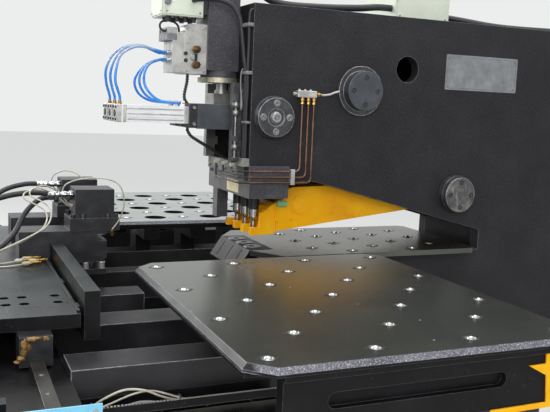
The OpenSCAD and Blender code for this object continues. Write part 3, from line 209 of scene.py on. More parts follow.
# finishes that change over one node: each layer covers where its value runs from one number to the other
layeredLooks = {
    # near table: bevels that face up take the enamel painted lighter as a highlight
    "outerTable": [("tableShadeBlack", None), ("litBevelPaint", ("up", 0.15, 0.35)), ("satinPaint", ("x", -0.612, -0.628)),
                   ("groundPlate", ("up", 0.90, 0.97))],
    "carriagePaint": [("tableShadeBlack", None), ("bluedSteel", ("up", 0.55, 0.80))],
    "punchSteel": [("toolSteel", None), ("capBlack", ("z", 1.034, 1.036))],
    "pipePaint": [("copperPipe", None), ("blackNylon", ("x", -0.100, -0.112))],
    # die table: its upward faces painted darker and browner as painted shade and painted dark reflection
    "dieTablePaint": [("groundPlate", None), ("shadedPlate", ("up", 0.90, 0.97))],
    # air hoses: blue, with the tops of their arcs painted pale as light falling through the tube
    "airLines": [("blueTube", None), ("litTube", ("z", 1.66, 1.74)), ("blueTube", ("x", -0.53, -0.47))],
    "holderPaint": [("pressBlock", None), ("machinedGrey", ("x", -0.0975, -0.0985))],
    "ramPaint": [("ramSteel", None), ("machinedGrey", ("z", 1.5302, 1.5306))],
    "guidePaint": [("pressBlock", None), ("machinedGrey", ("y", 0.001, 0.002))],
    "airTubes": [("anodised", None), ("capBlack", ("x", -0.3517, -0.3513))],
    # far table top painted almost white as a reflection of the window light
    # far table: bevels that face up take the enamel painted lighter as a highlight
    "farOuterTable": [("tableShadeBlack", None), ("litBevelPaint", ("up", 0.15, 0.35)), ("windowLitPlate", ("up", 0.90, 0.97))],
}


# how the noises become marks: spans of their values, and how much a mark covers
marks = {"tones": (0.30, 0.52, 0.74), "speck": (-0.12, 0.04), "speckMost": 0.75, "glint": (0.50, 0.68),
         "gloss": (0.3, 0.7), "bend": (0.97, 0.76), "bendMost": 0.9, "rub": (0.34, 0.62), "rubLeast": 0.25}
roundedBy = {"samples": 4, "plainEdge": 0.6}


def noise(tree, size, detail, rough, place):
    # noise whose marks are about size millimetres wide
    settings = {"Scale": 1000 / size, "Detail": detail, "Roughness": rough}
    return addNode(tree, "TexNoise", settings, {"Vector": place}), "Fac"


def ranged(tree, source, span, least=0.0, most=1.0):
    # a value carried from its span to the one from least to most, and held at both ends
    ends = {"From Min": span[0], "From Max": span[1], "To Min": least, "To Max": most}
    return addNode(tree, "MapRange", ends, {"Value": source}), "Result"


def covered(tree, under, hexColour, share):
    # a plain colour laid over another by its share
    return addNode(tree, "Mix", {"data_type": "RGBA", 7: linear(hexColour)}, {0: share, 6: under}), 2


def roundedNormal(tree, reach):
    # the normal as if every edge within reach, in millimetres, were rounded
    return addNode(tree, "Bevel", {"samples": roundedBy["samples"], "Radius": reach / 1000}), "Normal"


def surfaceLayer(tree, place, style):
    # colour drifts over patches, rare specks of wear lie on top, and a fine grain makes relief and, where asked,
    # painted glints
    stretched = (addNode(tree, "Mapping", {"Scale": style["stretch"]}, {"Vector": place}), "Vector")
    patches = noise(tree, style["patch"], 6.0, 0.62, place)
    drift = addNode(tree, "ValToRGB", {"stops": list(zip(marks["tones"], style["colours"]))}, {"Fac": patches})
    speckColour, speckFrom, speckSize = style["specks"]
    speckNoise = noise(tree, speckSize, 8.0, 0.7, stretched)
    speckSpan = (speckFrom + marks["speck"][0] - style["soft"], speckFrom + marks["speck"][1])
    tone = covered(tree, (drift, "Color"), speckColour, ranged(tree, speckNoise, speckSpan, most=marks["speckMost"]))
    grain = noise(tree, style["grain"], 3.0, 0.55, stretched)
    # painted glints: where the grain runs high, a lighter colour is laid on as a painted highlight
    if "sparkle" in style:
        sparkleColour, amount = style["sparkle"]
        tone = covered(tree, tone, sparkleColour, ranged(tree, grain, marks["glint"], most=amount))
    if "edge" in style:
        # where the rounded normal leaves the face's own normal there is an edge; a lighter colour is laid on there,
        # partly the finish rubbed off and partly a painted highlight along the edge
        reach, edgeColour = style["edge"]
        face = (addNode(tree, "NewGeometry"), "Normal")
        agree = addNode(tree, "VectorMath", {"operation": "DOT_PRODUCT"}, {0: roundedNormal(tree, reach), 1: face})
        bend = ranged(tree, (agree, "Value"), marks["bend"], most=marks["bendMost"])
        rubbed = ranged(tree, speckNoise, marks["rub"], least=marks["rubLeast"])
        wearAndSheen = addNode(tree, "Math", {"operation": "MULTIPLY"}, {0: bend, 1: rubbed})
        tone = covered(tree, tone, edgeColour, (wearAndSheen, 0))
    gloss = ranged(tree, patches, marks["gloss"], *style["rough"])
    height = addNode(tree, "Math", {"operation": "MULTIPLY", 1: style["depth"]}, {0: grain})
    return {"colour": tone, "rough": gloss, "height": (height, 0), "metal": style["metal"]}


def makeFinish(name, layers):
    # one layer, or several where a later one covers the ones before it by its share
    finish = bpy.data.materials.new(name)
    finish.use_nodes = True
    tree = finish.node_tree
    tree.nodes.clear()
    place = (addNode(tree, "TexCoord"), "Object")
    base = finishLooks[layers[0][0]]
    whole = surfaceLayer(tree, place, base)
    metalLink = None
    for lookName, (kind, low, high) in layers[1:]:
        over = surfaceLayer(tree, place, finishLooks[lookName])
        source = (addNode(tree, "NewGeometry"), "True Normal") if kind == "up" else place
        split = addNode(tree, "SeparateXYZ", {}, {0: source})
        share = ranged(tree, (split, {"up": 2, "x": 0, "y": 1, "z": 2}[kind]), (low, high))
        colour = addNode(tree, "Mix", {"data_type": "RGBA"}, {0: share, 6: whole["colour"], 7: over["colour"]})
        rough, height = (addNode(tree, "Mix", {}, {0: share, 2: whole[key], 3: over[key]})
            for key in ("rough", "height"))
        if metalLink:
            metal = addNode(tree, "Mix", {3: over["metal"]}, {0: share, 2: metalLink})
        else:
            metal = addNode(tree, "Mix", {2: whole["metal"], 3: over["metal"]}, {0: share})
        metalLink = (metal, 0)
        whole.update({"colour": (colour, 2), "rough": (rough, 0), "height": (height, 0)})
    rounded = roundedNormal(tree, base.get("edge", (roundedBy["plainEdge"],))[0] / 2)
    relief = addNode(tree, "Bump", {"Strength": 0.6, "Distance": 0.001},
        {"Height": whole["height"], "Normal": rounded})
    links = {"Base Color": whole["colour"], "Roughness": whole["rough"], "Normal": (relief, "Normal")}
    settings = {"Specular IOR Level": base["specular"]}
    if metalLink:
        links["Metallic"] = metalLink
    else:
        settings["Metallic"] = whole["metal"]
    shader = addNode(tree, "BsdfPrincipled", settings, links)
    addNode(tree, "OutputMaterial", {}, {"Surface": (shader, "BSDF")})
    return finish


finishes = {name: makeFinish(name, [(name, None)]) for name in finishLooks}
finishes.update({name: makeFinish(name, layers) for name, layers in layeredLooks.items()})
print("finishes made", len(finishes))

# finish of each CAD node that stays as it is
nodeFinish = {
    "hammeredPaint": "near_side_plate far_side_plate",
    "satinPaint": "floor_plate long_bases long_drive cross_beams holddown_cylinder",
    # these parts take the black enamel painted darker as shade under the tables
    "tableShadeBlack": "die_holder table_frames frame_webs cross_bed cross_drive",
    "pressBlock": "ram_cylinder",
    "holderPaint": "punch_holder",
    "dieTablePaint": "die_table",
    "outerTable": "near_table",
    "farOuterTable": "far_table",
    "capSteel": "pin_caps",
    "ramPaint": "ram",
    "guidePaint": "ram_guides",
    "blackOxide": "long_bearings cross_bearings clamp_bodies",
    "machinedSteel": "die_table_balls table_balls arm_pin hose_fittings clamp_jaw_1 clamp_jaw_2 holddown_rod",
    "ramSteel": "dies",
    "oilySteel": "long_rails long_screw cross_rails cross_screw",
    "toolSteel": "wedge_1 wedge_2 wedge_3",
    "punchSteel": "punch_1 punch_2 punch_3",
    "yellowEnamel": "stripper_arm side_guard",
    "castAlloy": "cylinder_flange lubrication_manifold",
    "plateLine": "nameplate",
    "airTubes": "air_cylinders",
    "valveAlloy": "valve_island",
    "powderCoat": "cabinets",
    "blueEnamel": "bed_end_cover",
    "pipePaint": "copper_pipes",
    "blackRubber": "top_hoses hydraulic_hoses",
    "airLines": "air_hoses",
    "blackNylon": "cable_glands",
    "springSteel": "punch_spring_1 punch_spring_2 punch_spring_3",
    "carriagePaint": "carriage_plate locating_bar",
}
for finishName, names in nodeFinish.items():
    for nodeName in names.split():
        for slot in nodes[nodeName].material_slots:
            slot.material = finishes[finishName]


def putMesh(name, shape, finish, body="machine", angle=35):
    # a mesh from an array of points in millimetres and a list of face arrays, one array for each count of corners
    points, faceSets = shape
    corners = np.concatenate([f.ravel() for f in faceSets]).astype(np.int32)
    sizes = np.concatenate([np.full(len(f), f.shape[1]) for f in faceSets])
    starts = np.concatenate([[0], np.cumsum(sizes)[:-1]]).astype(np.int32)
    mesh = bpy.data.meshes.new(name)
    mesh.vertices.add(len(points))
    mesh.vertices.foreach_set("co", (points / 1000).astype(np.float32).ravel())
    mesh.loops.add(len(corners))
    mesh.loops.foreach_set("vertex_index", corners)
    mesh.polygons.add(len(sizes))
    mesh.polygons.foreach_set("loop_start", starts)
    mesh.update(calc_edges=True)
    mesh.validate()
    mesh.shade_smooth()
    mesh.set_sharp_from_angle(angle=math.radians(angle))
    mesh.materials.append(finishes[finish])
    piece = bpy.data.objects.new(name, mesh)
    scene.collection.objects.link(piece)
    if isinstance(body, str):
        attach(piece, body)
    else:
        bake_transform(piece)
    return piece


def joined(shapes):
    # many shapes in one: points stacked, faces shifted by the points before them
    offsets = np.cumsum([0] + [len(p) for p, _ in shapes])
    faceSets = [f + offset for (_, sets), offset in zip(shapes, offsets) for f in sets]
    return np.concatenate([p for p, _ in shapes]), faceSets


def repeated(shape, shifts):
    # one shape copied to every shift
    points, faceSets = shape
    shifts = np.asarray(shifts, float).reshape(-1, 3)
    copies = (points[None, :, :] + shifts[:, None, :]).reshape(-1, 3)
    jumps = np.arange(len(shifts)) * len(points)
    return copies, [(f[None, :, :] + jumps[:, None, None]).reshape(-1, f.shape[1]) for f in faceSets]


def rowsOf(text):
    # rows of numbers written as text: commas between rows, spaces between numbers
    return np.array([row.split() for row in text.split(",")], float)


def ringFaces(rings, sides, closed=False):
    # quads between neighbouring rings, and one flat cap at each end unless the profile closes on itself
    row, col = np.meshgrid(np.arange(rings if closed else rings - 1), np.arange(sides), indexing="ij")
    after, below = (col + 1) % sides, (row + 1) % rings
    walls = np.stack([row * sides + col, row * sides + after, below * sides + after, below * sides + col], -1)
    if closed:
        return [walls.reshape(-1, 4)]
    first = np.arange(sides)[::-1][None, :]
    last = ((rings - 1) * sides + np.arange(sides))[None, :]
    return [walls.reshape(-1, 4), first, last]


def smoothPath(route, step=6):
    # Catmull-Rom curve through the route's points, then points at even steps along it
    p = np.asarray(route, float)
    p = np.vstack([2 * p[0] - p[1], p, 2 * p[-1] - p[-2]])
    t = np.linspace(0, 1, 24, endpoint=False)[:, None, None]
    a, b, c, d = p[None, :-3], p[None, 1:-2], p[None, 2:-1], p[None, 3:]
    curve = 0.5 * (2 * b + (c - a) * t + (2 * a - 5 * b + 4 * c - d) * t ** 2 + (3 * b - a - 3 * c + d) * t ** 3)
    curve = np.vstack([curve.transpose(1, 0, 2).reshape(-1, 3), p[-2]])
    run = np.concatenate([[0], np.cumsum(np.linalg.norm(np.diff(curve, axis=0), axis=1))])
    even = np.linspace(0, run[-1], max(12, int(run[-1] / step)))
    return np.stack([np.interp(even, run, curve[:, k]) for k in range(3)], -1)


def alongPath(path, radius, sides=16):
    # circles of the given radii carried along the path, each square to it, turned by the path's own plane
    path = np.asarray(path, float)
    ahead = np.gradient(path, axis=0)
    ahead /= np.linalg.norm(ahead, axis=1)[:, None]
    plane = np.linalg.svd(path - path.mean(0))[2][-1]
    side = np.cross(ahead, plane)
    side /= np.linalg.norm(side, axis=1)[:, None]
    up = np.cross(side, ahead)
    angle = np.linspace(0, 2 * np.pi, sides, endpoint=False)
    radius = np.broadcast_to(np.asarray(radius, float), (len(path),))[:, None, None]
    rings = path[:, None, :] + radius * (np.cos(angle)[None, :, None] * up[:, None, :]
                                         + np.sin(angle)[None, :, None] * side[:, None, :])
    return rings.reshape(-1, 3), ringFaces(len(path), sides)


def turned(profile, start, axis, sides=32, hexRows=(), closed=False):
    # a profile of (distance along the axis, radius) turned round the axis; hex rows follow a hexagon
    profile = np.asarray(profile, float)
    axis = np.asarray(axis, float) / np.linalg.norm(axis)
    helper = np.array([0.0, 0.0, 1.0]) if abs(axis[2]) < 0.9 else np.array([1.0, 0.0, 0.0])
    side = np.cross(helper, axis)
    side /= np.linalg.norm(side)
    up = np.cross(axis, side)
    angle = np.linspace(0, 2 * np.pi, sides, endpoint=False)
    radius = np.repeat(profile[:, 1:2], sides, axis=1)
    flat = np.cos(np.pi / 6) / np.cos((angle % (np.pi / 3)) - np.pi / 6)
    for row in hexRows:
        radius[row] = radius[row] * flat
    rings = (np.asarray(start, float)[None, None, :] + profile[:, 0][:, None, None] * axis
             + radius[:, :, None] * (np.cos(angle)[None, :, None] * side + np.sin(angle)[None, :, None] * up))
    return rings.reshape(-1, 3), ringFaces(len(profile), sides, closed)


def washer(inner, outer, thick, start, axis, sides=40):
    # a flat ring with a cut edge: a profile that closes on itself, turned round the axis
    profile = [(0, inner), (0, outer), (thick * 0.7, outer), (thick, outer - thick * 0.3), (thick, inner)]
    return turned(profile, start, axis, sides, closed=True)


origin, toNear, toLeft, toTop, toFloor = (0, 0, 0), (0, -1, 0), (-1, 0, 0), (0, 0, 1), (0, 0, -1)


def grid(xs, ys, zs):
    # every spot with one of each coordinate; a single number stands for itself
    return [(x, y, z) for x in np.atleast_1d(xs) for y in np.atleast_1d(ys) for z in np.atleast_1d(zs)]


def socketScrew(axis, across, high):
    # a cap screw turned from its profile, with a six sided recess sunk into its head
    r = across / 2
    sunk = [(high, r * 0.56), (high * 0.96, r * 0.52), (high * 0.45, r * 0.50)]
    return turned([(0, r), (high - 1, r), (high, r - 1)] + sunk, origin, axis, 18, hexRows=(3, 4, 5))


def hexNut(start, axis, across, high):
    # a nut: a round chamfer at each end and six flats between
    r = across / 2
    profile = [(0, r * 0.90), (high * 0.12, r * 1.05), (high * 0.88, r * 1.05), (high, r * 0.90)]
    return turned(profile, start, axis, 24, hexRows=(1, 2))


def spun(profile, axis, sides, hexRows, spots):
    # a profile turned round the axis at the origin, then copied to every spot
    return repeated(turned(profile, origin, axis, sides, hexRows), spots)


def screws(axis, across, high, spots):
    # cap screws of one size at every spot
    return repeated(socketScrew(axis, across, high), spots)


def blockTopology():
    # a block with cut edges: each corner has three points, one on each face that meets there
    signs = np.array([[x, y, z] for x in (-1, 1) for y in (-1, 1) for z in (-1, 1)])
    key = {(tuple(s), a): 3 * i + a for i, s in enumerate(signs) for a in range(3)}
    quads, tris = [], []
    for a in range(3):
        b, c = (a + 1) % 3, (a + 2) % 3
        for s in (-1, 1):
            loop = []
            for u, v in ((-1, -1), (1, -1), (1, 1), (-1, 1)):
                corner = [0, 0, 0]
                corner[a], corner[b], corner[c] = s, u, v
                loop.append(key[(tuple(corner), a)])
            quads.append(loop if s > 0 else loop[::-1])
        for u in (-1, 1):
            for v in (-1, 1):
                low, high = [0, 0, 0], [0, 0, 0]
                low[a], low[b], low[c] = -1, u, v
                high[a], high[b], high[c] = 1, u, v
                loop = [key[(tuple(low), b)], key[(tuple(high), b)], key[(tuple(high), c)], key[(tuple(low), c)]]
                quads.append(loop if u * v < 0 else loop[::-1])
    for s in signs:
        loop = [key[(tuple(s), a)] for a in range(3)]
        tris.append(loop if s.prod() > 0 else loop[::-1])
    return signs, np.array(quads), np.array(tris)


blockSigns, blockQuads, blockTris = blockTopology()


def blocks(boxes, cut=2):
    # blocks between two corners with their edges cut back, all computed at once
    boxes = np.asarray(boxes, float).reshape(-1, 2, 3)
    centre, half = boxes.mean(1), (boxes[:, 1] - boxes[:, 0]) / 2
    inset = np.where(np.eye(3, dtype=bool)[None], 0.0, cut)  # the point on face a keeps its full reach along a
    reach = half[:, None, None, :] - inset[None]
    points = centre[:, None, None, :] + blockSigns[None, :, None, :] * reach
    shifts = np.arange(len(boxes)) * 24
    return points.reshape(-1, 3), [(blockQuads[None] + shifts[:, None, None]).reshape(-1, 4),
                                   (blockTris[None] + shifts[:, None, None]).reshape(-1, 3)]


def putCord(name, route, across, finish, body, ridges=0.0, sides=16):
    # a hose or cable along its route; ridges are a cosine of the arc
    path = smoothPath(rowsOf(route))
    along = np.concatenate([[0], np.cumsum(np.linalg.norm(np.diff(path, axis=0), axis=1))])
    steps = np.linspace(0, along[-1], int(along[-1] / ribs["step"])) if ridges else along
    path = np.stack([np.interp(steps, along, path[:, k]) for k in range(3)], -1)
    radius = across / 2 * (1 - ridges * (0.5 - 0.5 * np.cos(2 * np.pi * steps / ribs["pitch"])))
    piece = putMesh(name, alongPath(path, radius, sides), finish, body, 60)
    path, diameter = path / 1000, across / 1000
    return piece


def putCords(stem, kit, body, ridges=0.0, sides=16):
    return [putCord("%s_%d" % (stem, i + 1), route, kit["diameter"], kit["finish"], body, ridges,
                    sides=sides) for i, route in enumerate(kit["routes"])]


# cords first: the same routes as their solids, in millimetres
ribs = {"pitch": 12, "step": 1.5}
airHoses = {"diameter": 12, "finish": "airLines", "routes": [
    "-429 -40 1758, -452 -40 1758, -549 -50 1774, -602 -62 1762, -648 -78 1730, -669 -95 1680, -677 -105 1619, "
        "-665 -109 1572, -657 -110 1546, -657 -110 1521",
    "-429 0 1758, -452 0 1758, -537 0 1782, -590 0 1775, -635 0 1748, -665 0 1700, -678 0 1640, -669 0 1585, "
        "-657 0 1546, -657 0 1521",
    "-429 40 1758, -452 40 1758, -525 50 1785, -575 60 1783, -620 72 1765, -659 85 1725, -680 95 1666, "
        "-676 103 1609, -661 109 1560, -657 110 1543, -657 110 1521",
    "-429 -40 1724, -450 -40 1724, -508 -52 1702, -538 -70 1660, -542 -88 1608, -519 -102 1566, -478 -109 1537, "
        "-420 -110 1529, -380 -110 1529",
    "-429 0 1724, -450 0 1724, -503 0 1702, -538 0 1660, -544 0 1611, -521 0 1567, -478 0 1538, -420 0 1529, "
        "-380 0 1529",
    "-429 40 1724, -450 40 1724, -498 52 1702, -536 70 1660, -547 88 1614, -525 102 1567, -478 109 1538, "
        "-420 110 1529, -380 110 1529"]}
clampHoses = {"diameter": 26, "finish": "blackRubber", "routes": [
    "-868 200 1075, -905 200 1075, -990 188 1085, -1110 155 1075, -1240 105 1035, -1390 55 945, -1480 25 860, "
        "-1500 20 820, -1500 20 790",
    "-868 270 1055, -905 270 1055, -965 250 1040, -1030 200 985, -1085 120 905, -1170 20 850, -1270 -50 835, "
        "-1300 -60 822, -1300 -60 795",
    "-868 650 1075, -905 650 1075, -990 638 1075, -1100 605 1045, -1220 550 960, -1320 500 870, -1360 480 825, "
        "-1360 480 790"]}
topHoses = {"diameter": 34, "finish": "blackRubber", "routes": [
    "735 -60 2050, 700 -60 2050, 620 -100 2042, 480 -165 2020, 260 -190 2003, 60 -190 2003, -35 -186 2045, "
        "-62 -172 2140, -75 -150 2250, -105 -115 2312, -150 -75 2318, -175 -50 2290, -175 -50 2250",
    "1060 60 2050, 1095 60 2050, 1210 20 2036, 1420 -60 2008, 1700 -120 2003, 1800 -135 2008, 1880 -140 2028, "
        "1925 -140 2028, 1944 -140 2008, 1944 -140 1985"]}
noseHose = {"diameter": 22, "finish": "blackRubber", "routes": [
    "-330 -110.2 1990, -330 -132 1990, -316 -150 1992, -270 -158 1996, -220 -158 1996, -165 -162 1978, "
        "-128 -172 1925, -118 -185 1850, -114 -212 1740, -113 -238 1668, -113 -239 1500, -113 -239 1400, "
        "-113 -239 1325, -113 -239 1291.3"]}

airPieces = putCords("air_hose", airHoses, ("machine", "ram", 1700, 1530), sides=12)
clampPieces = putCords("clamp_hose", clampHoses, "carriage", 0.02)
topPieces = putCords("top_hose", topHoses, "machine", 0.03) + putCords("nose_hose", noseHose, "machine")
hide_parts("air_hoses")
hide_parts("hydraulic_hoses")
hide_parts("top_hoses")

# leads: cream sensor cables on the clamps and in the tray, black and grey ones on the press head
leads = {
    "clamp_lead_1": ("carriage", 6.5, "signalCable", "-805 290 1040, -826 290 1043, -846 283 1075, -832 265 1115, "
        "-780 235 1141, -715 200 1152, -650 165 1150, -604 140 1128, -582 130 1080, -580 127 1020, -598 131 962, "
        "-620 137 926, -631 140 912"),
    "clamp_lead_2": ("carriage", 7, "signalCable", "-805 222 1020, -828 219 1028, -880 190 1088, -950 128 1124, "
        "-1012 76 1112, -1018 48 1088, -975 30 1066, -943 8 1040, -938 -24 1002, -966 -62 962, -1040 -96 926, "
        "-1120 -126 894, -1210 -150 860, -1300 -160 822, -1336 -160 800, -1340 -160 774.5"),
    "clamp_lead_3": ("carriage", 7, "signalCable", "-805 240 1010, -830 239 1018, -890 214 1070, -965 150 1108, "
        "-1034 88 1100, -1046 56 1076, -1000 36 1050, -962 14 1026, -955 -18 990, -984 -58 950, -1056 -90 912, "
        "-1136 -116 880, -1220 -130 848, -1296 -130 815, -1318 -130 798, -1322 -130 774.5"),
    "clamp_lead_4": ("carriage", 6.5, "signalCable", "-805 690 1040, -826 690 1043, -848 682 1080, -836 664 1122, "
        "-790 640 1146, -740 620 1140, -708 612 1118, -700 612 1102.5"),
    "plug_lead_1": ("carriage", 7, "signalCable", "-1058 13 783, -1080 8 781, -1130 -2 778.4, -1200 5 778.4, "
        "-1290 40 778.4, -1400 62 778.4, -1480 60 778.4, -1540 52 778.4"),
    "plug_lead_2": ("carriage", 7, "signalCable", "-1084 78 783, -1106 73 781, -1150 66 778.4, -1230 76 778.4, "
        "-1330 102 778.4, -1430 112 778.4, -1490 104 778.4, -1540 96 778.4"),
    "tray_lead_1": ("worktable", 8, "signalCable", "-975 -1060 506.5, -945 -1062 514, -890 -1070 548, "
        "-830 -1080 572, -765 -1086 566, -705 -1080 536, -650 -1068 514, -580 -1062 507.5, -480 -1060 507, "
        "-380 -1060 507, -300 -1060 507"),
    "tray_lead_2": ("worktable", 7, "signalCable", "-975 -1078 506, -930 -1078 512, -870 -1072 528, "
        "-800 -1066 548, -735 -1062 552, -675 -1066 534, -610 -1074 512, -540 -1078 506.5, -420 -1078 506.5, "
        "-300 -1078 506.5"),
    "tray_lead_3": ("worktable", 9, "greyCable", "-975 -1096 507.5, -910 -1097 509, -840 -1098 520, "
        "-780 -1097 530, -715 -1097 522, -640 -1097 509, -520 -1097 507.5, -400 -1097 507.5, -300 -1097 507.5"),
    "nose_lead_1": ("machine", 13, "blackRubber", "-98.3 -262 1955, -106 -262 1954, -114 -262 1936, "
        "-115 -262 1880, -114 -262 1800, -115 -262 1700, -113 -263 1600, -115 -262 1500, -114 -262 1400, "
        "-114 -262 1330, -114 -262 1292"),
    "nose_lead_2": ("machine", 6, "greyCable", "-98.3 -216 1700, -112 -216 1699, -127 -217 1684, -132 -222 1640, "
        "-133 -233 1590, -133 -245 1550, -133 -250 1524, -133 -244 1508, -132 -235 1516, -131 -228 1540, "
        "-128 -221 1572, -121 -217 1594, -114 -216 1600"),
    "coil_lead": ("machine", 10, "blackRubber", "-439.7 -40 1852, -452 -40 1853, -464 -40 1866, -463 -40 1884, "
        "-448 -40 1896, -425 -40 1899, -400 -40 1895, -382 -40 1882, -375 -40 1864, -374 -40 1848.5"),
}
for leadName, (leadBody, leadAcross, leadFinish, leadRoute) in leads.items():
    putCord(leadName, leadRoute, leadAcross, leadFinish, leadBody, sides=10)

# ribbed conduits between the press head and the moving ram: two heights given with the body, and their route
conduits = {
    "valve_conduit": ((1640, 1540), "-335 -60 1663.5, -335 -60 1646, -337 -61 1624, -344 -65 1596, -350 -68 1568, "
        "-347 -67 1546, -338 -65 1534, -333 -64 1527.5"),
    "ram_conduit": ((1285, 1405), "-340 -100 1418.5, -339 -100 1404, -322 -98 1380, -285 -88 1358, -240 -66 1336, "
        "-190 -34 1312, -146 -4 1290, -124 10 1279, -116 14 1268.5"),
}
for conduitName, (conduitSpan, conduitRoute) in conduits.items():
    putCord(conduitName, conduitRoute, 17, "blackNylon", ("machine", "ram", *conduitSpan), 0.34, sides=14)
print("cords made", len(airPieces) + len(clampPieces) + len(topPieces) + len(leads) + len(conduits))

# transfer balls: a pressed cup in a seat of painted shade, a dark ring for the gap round it and dark blocks for its
# two spanner notches, and a polished ball that stands proud
ballUnits = {"gridX": 170, "gridY": 200, "firstX": -569, "nearY": -1671, "farY": 874, "top": 850,
             "ball": 28, "proud": 8, "cup": 41, "seat": 51}


def ballSpots(odd, first, columns, rows, stepY):
    # a grid with even steps both ways, of which every other spot is kept, as on a chessboard
    i, j = np.meshgrid(columns, rows, indexing="ij")
    spots = np.stack([ballUnits["firstX"] + ballUnits["gridX"] * i, first + stepY * j,
        np.full(i.shape, ballUnits["top"])], -1)
    return spots[(i + j) % 2 == odd]


def ballUnit():
    # the cup's rim is one profile; the ball is circles of radius r cos(lean) at the height r sin(lean)
    r, cup = ballUnits["ball"] / 2, ballUnits["cup"] / 2
    lean = np.radians(np.linspace(14, 90, 12))
    centre = ballUnits["proud"] - r
    dome = np.stack([centre + r * np.sin(lean), np.maximum(r * np.cos(lean), 0.2)], -1)
    rim = np.array([[-18, cup * 0.8], [-18, cup], [0.6, cup], [1.4, cup - 1.2], [1.4, r + 2.8],
                    [-1.2, r + 1.6], [-2.6, r]])
    return turned(rim, origin, toTop, 40), turned(dome[dome[:, 0] > -4], origin, toTop, 40)


cupShape, domeShape = ballUnit()


def ballSeatShade():
    # a thin dark washer round the cup, painted shade of the gap round it, and a dark block on each side, painted shade
    # in the spanner's notches
    cup, seat = ballUnits["cup"] / 2, ballUnits["seat"] / 2
    return joined([washer(cup - 0.8, seat, 0.9, origin, toTop),
                   blocks([[[-33, -6, 0], [-23, 6, 0.9]], [[23, -6, 0], [33, 6, 0.9]]], 0.3)])


nearSpots = ballSpots(0, ballUnits["nearY"], range(7), range(7), ballUnits["gridY"])
farSpots = ballSpots(1, ballUnits["farY"], range(7), range(6), ballUnits["gridY"])
dieArea = {"x": (115, 1090), "y": 303}
dieSpots = ballSpots(0, -300, range(3, 10), range(7), 100)
dieX, dieY = dieSpots[:, 0], dieSpots[:, 1]
dieSpots = dieSpots[(dieX > dieArea["x"][0]) & (dieX < dieArea["x"][1]) & (abs(dieY) < dieArea["y"])]
nearBalls = putMesh("near_balls", repeated(domeShape, nearSpots), "machinedSteel", "worktable")
putMesh("far_balls", repeated(domeShape, farSpots), "machinedSteel", "worktable")
dieBalls = putMesh("die_balls", repeated(domeShape, dieSpots), "machinedSteel")
putMesh("outer_ball_cups", repeated(cupShape, np.vstack([nearSpots, farSpots])), "cupSteel", "worktable")
putMesh("die_ball_cups", repeated(cupShape, dieSpots), "cupSteel")
# dark rings and notch blocks round the cups: painted shade
putMesh("outer_ball_seat_shade", repeated(ballSeatShade(), np.vstack([nearSpots, farSpots])), "blackNylon", "worktable")
putMesh("die_ball_seat_shade", repeated(ballSeatShade(), dieSpots), "blackNylon")
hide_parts("table_balls")
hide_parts("die_table_balls")
tableDots = np.array([[-56, -809], [-164, -922], [-31, -1214], [71, -1452], [-13, -1654], [-627, -1156]])
putMesh("table_dowels",
    spun([(-2, 4), (0.3, 4), (0.6, 3)], toTop, 16, (), np.column_stack([tableDots, np.full(len(tableDots), 850)])),
    "machinedSteel", "worktable")
print("ball units made", len(nearSpots), len(farSpots), len(dieSpots))

# pin caps: rubbed rings, screws in their seats and a different face on each of the three
pinCaps = {"front": {"x": 10, "z": 1482, "across": 195, "face": 321, "disc": None},
           "lever": {"x": 455, "z": 1620, "across": 190, "face": 336, "disc": "ramSteel", "reach": 92.5},
           "pivot": {"x": 1048, "z": 1121, "across": 195, "face": 326, "disc": "rubbedFace", "reach": 86}}
for capName, cap in pinCaps.items():
    turn = np.radians([0, 90, 180, 270])
    r = cap["across"] * 0.33
    for side in (-1, 1):
        spots = np.stack([cap["x"] + r * np.cos(turn), np.full(4, side * cap["face"]), cap["z"] + r * np.sin(turn)],
            -1)
        axis, tag = (0, side, 0), "%s_%s" % (capName, "near" if side < 0 else "far")
        lift = np.array([0, side, 0])
        if cap["disc"]:
            reach = cap["reach"]
            disc = turned([(-12, reach), (1.8, reach), (2.8, reach - 1), (2.8, 0.5)],
                (cap["x"], side * cap["face"], cap["z"]), axis, 64)
            putMesh("cap_disc_" + tag, disc, cap["disc"])
            putMesh("cap_seats_" + tag, repeated(washer(7.6, 12.8, 1.2, origin, axis, 28), spots + lift * 2.7),
                "capBlack")
            putMesh("cap_screws_" + tag, screws(axis, 15, 3.6, spots), "capBlack")
        else:
            middle = np.array([[cap["x"], side * (cap["face"] + 2.2), cap["z"]]])
            putMesh("cap_rings_" + tag, joined([repeated(washer(11.5, 15, 1.6, origin, axis, 28), spots),
                repeated(washer(13, 22.5, 3.5, origin, axis, 32), middle)]), "machinedSteel")
            putMesh("cap_screws_" + tag, joined([screws(axis, 21, 12, spots - lift * 9),
                                                 screws(axis, 24, 3, middle)]), "capSteel")
print("pin caps dressed")

# lubrication: a drilled block, brass nuts on its pipes, a bent tube to the lever cap, nuts on the ledge
lubrication = {"block": [[118, -310, 1577], [215, -276.2, 1609]], "pipes": (143, 174, 202), "y": -304,
               "ledge": (-190, -85, 20)}
lubeBlock = putMesh("lube_block", joined([blocks([lubrication["block"]], 2.5),
    blocks([[[99, -312, 1173], [119, -276.2, 1245]]], 1.5), screws(toTop, 11, 7, grid((130, 160, 188), -293, 1608.5)),
    turned(rowsOf("0 6, 12 6, 12 8.5, 17 8.5, 18 7"), (118.5, -293, 1593), toLeft, 24),
    alongPath(smoothPath(rowsOf("236 -293 1592, 262 -293 1592, 290 -294 1597, 312 -295 1606, 334 -296 1612")), 5.2,
    14)]), "valveAlloy")
brassDown = rowsOf("0 8, 4 8, 5 10.2, 15 10.2, 16 7.5, 21 7.5, 23 9.5, 31 9.5, 33 5.5")
brassAcross = rowsOf("0 6.2, 6 6.2, 7 9.8, 20 9.8, 22 7, 29 7")
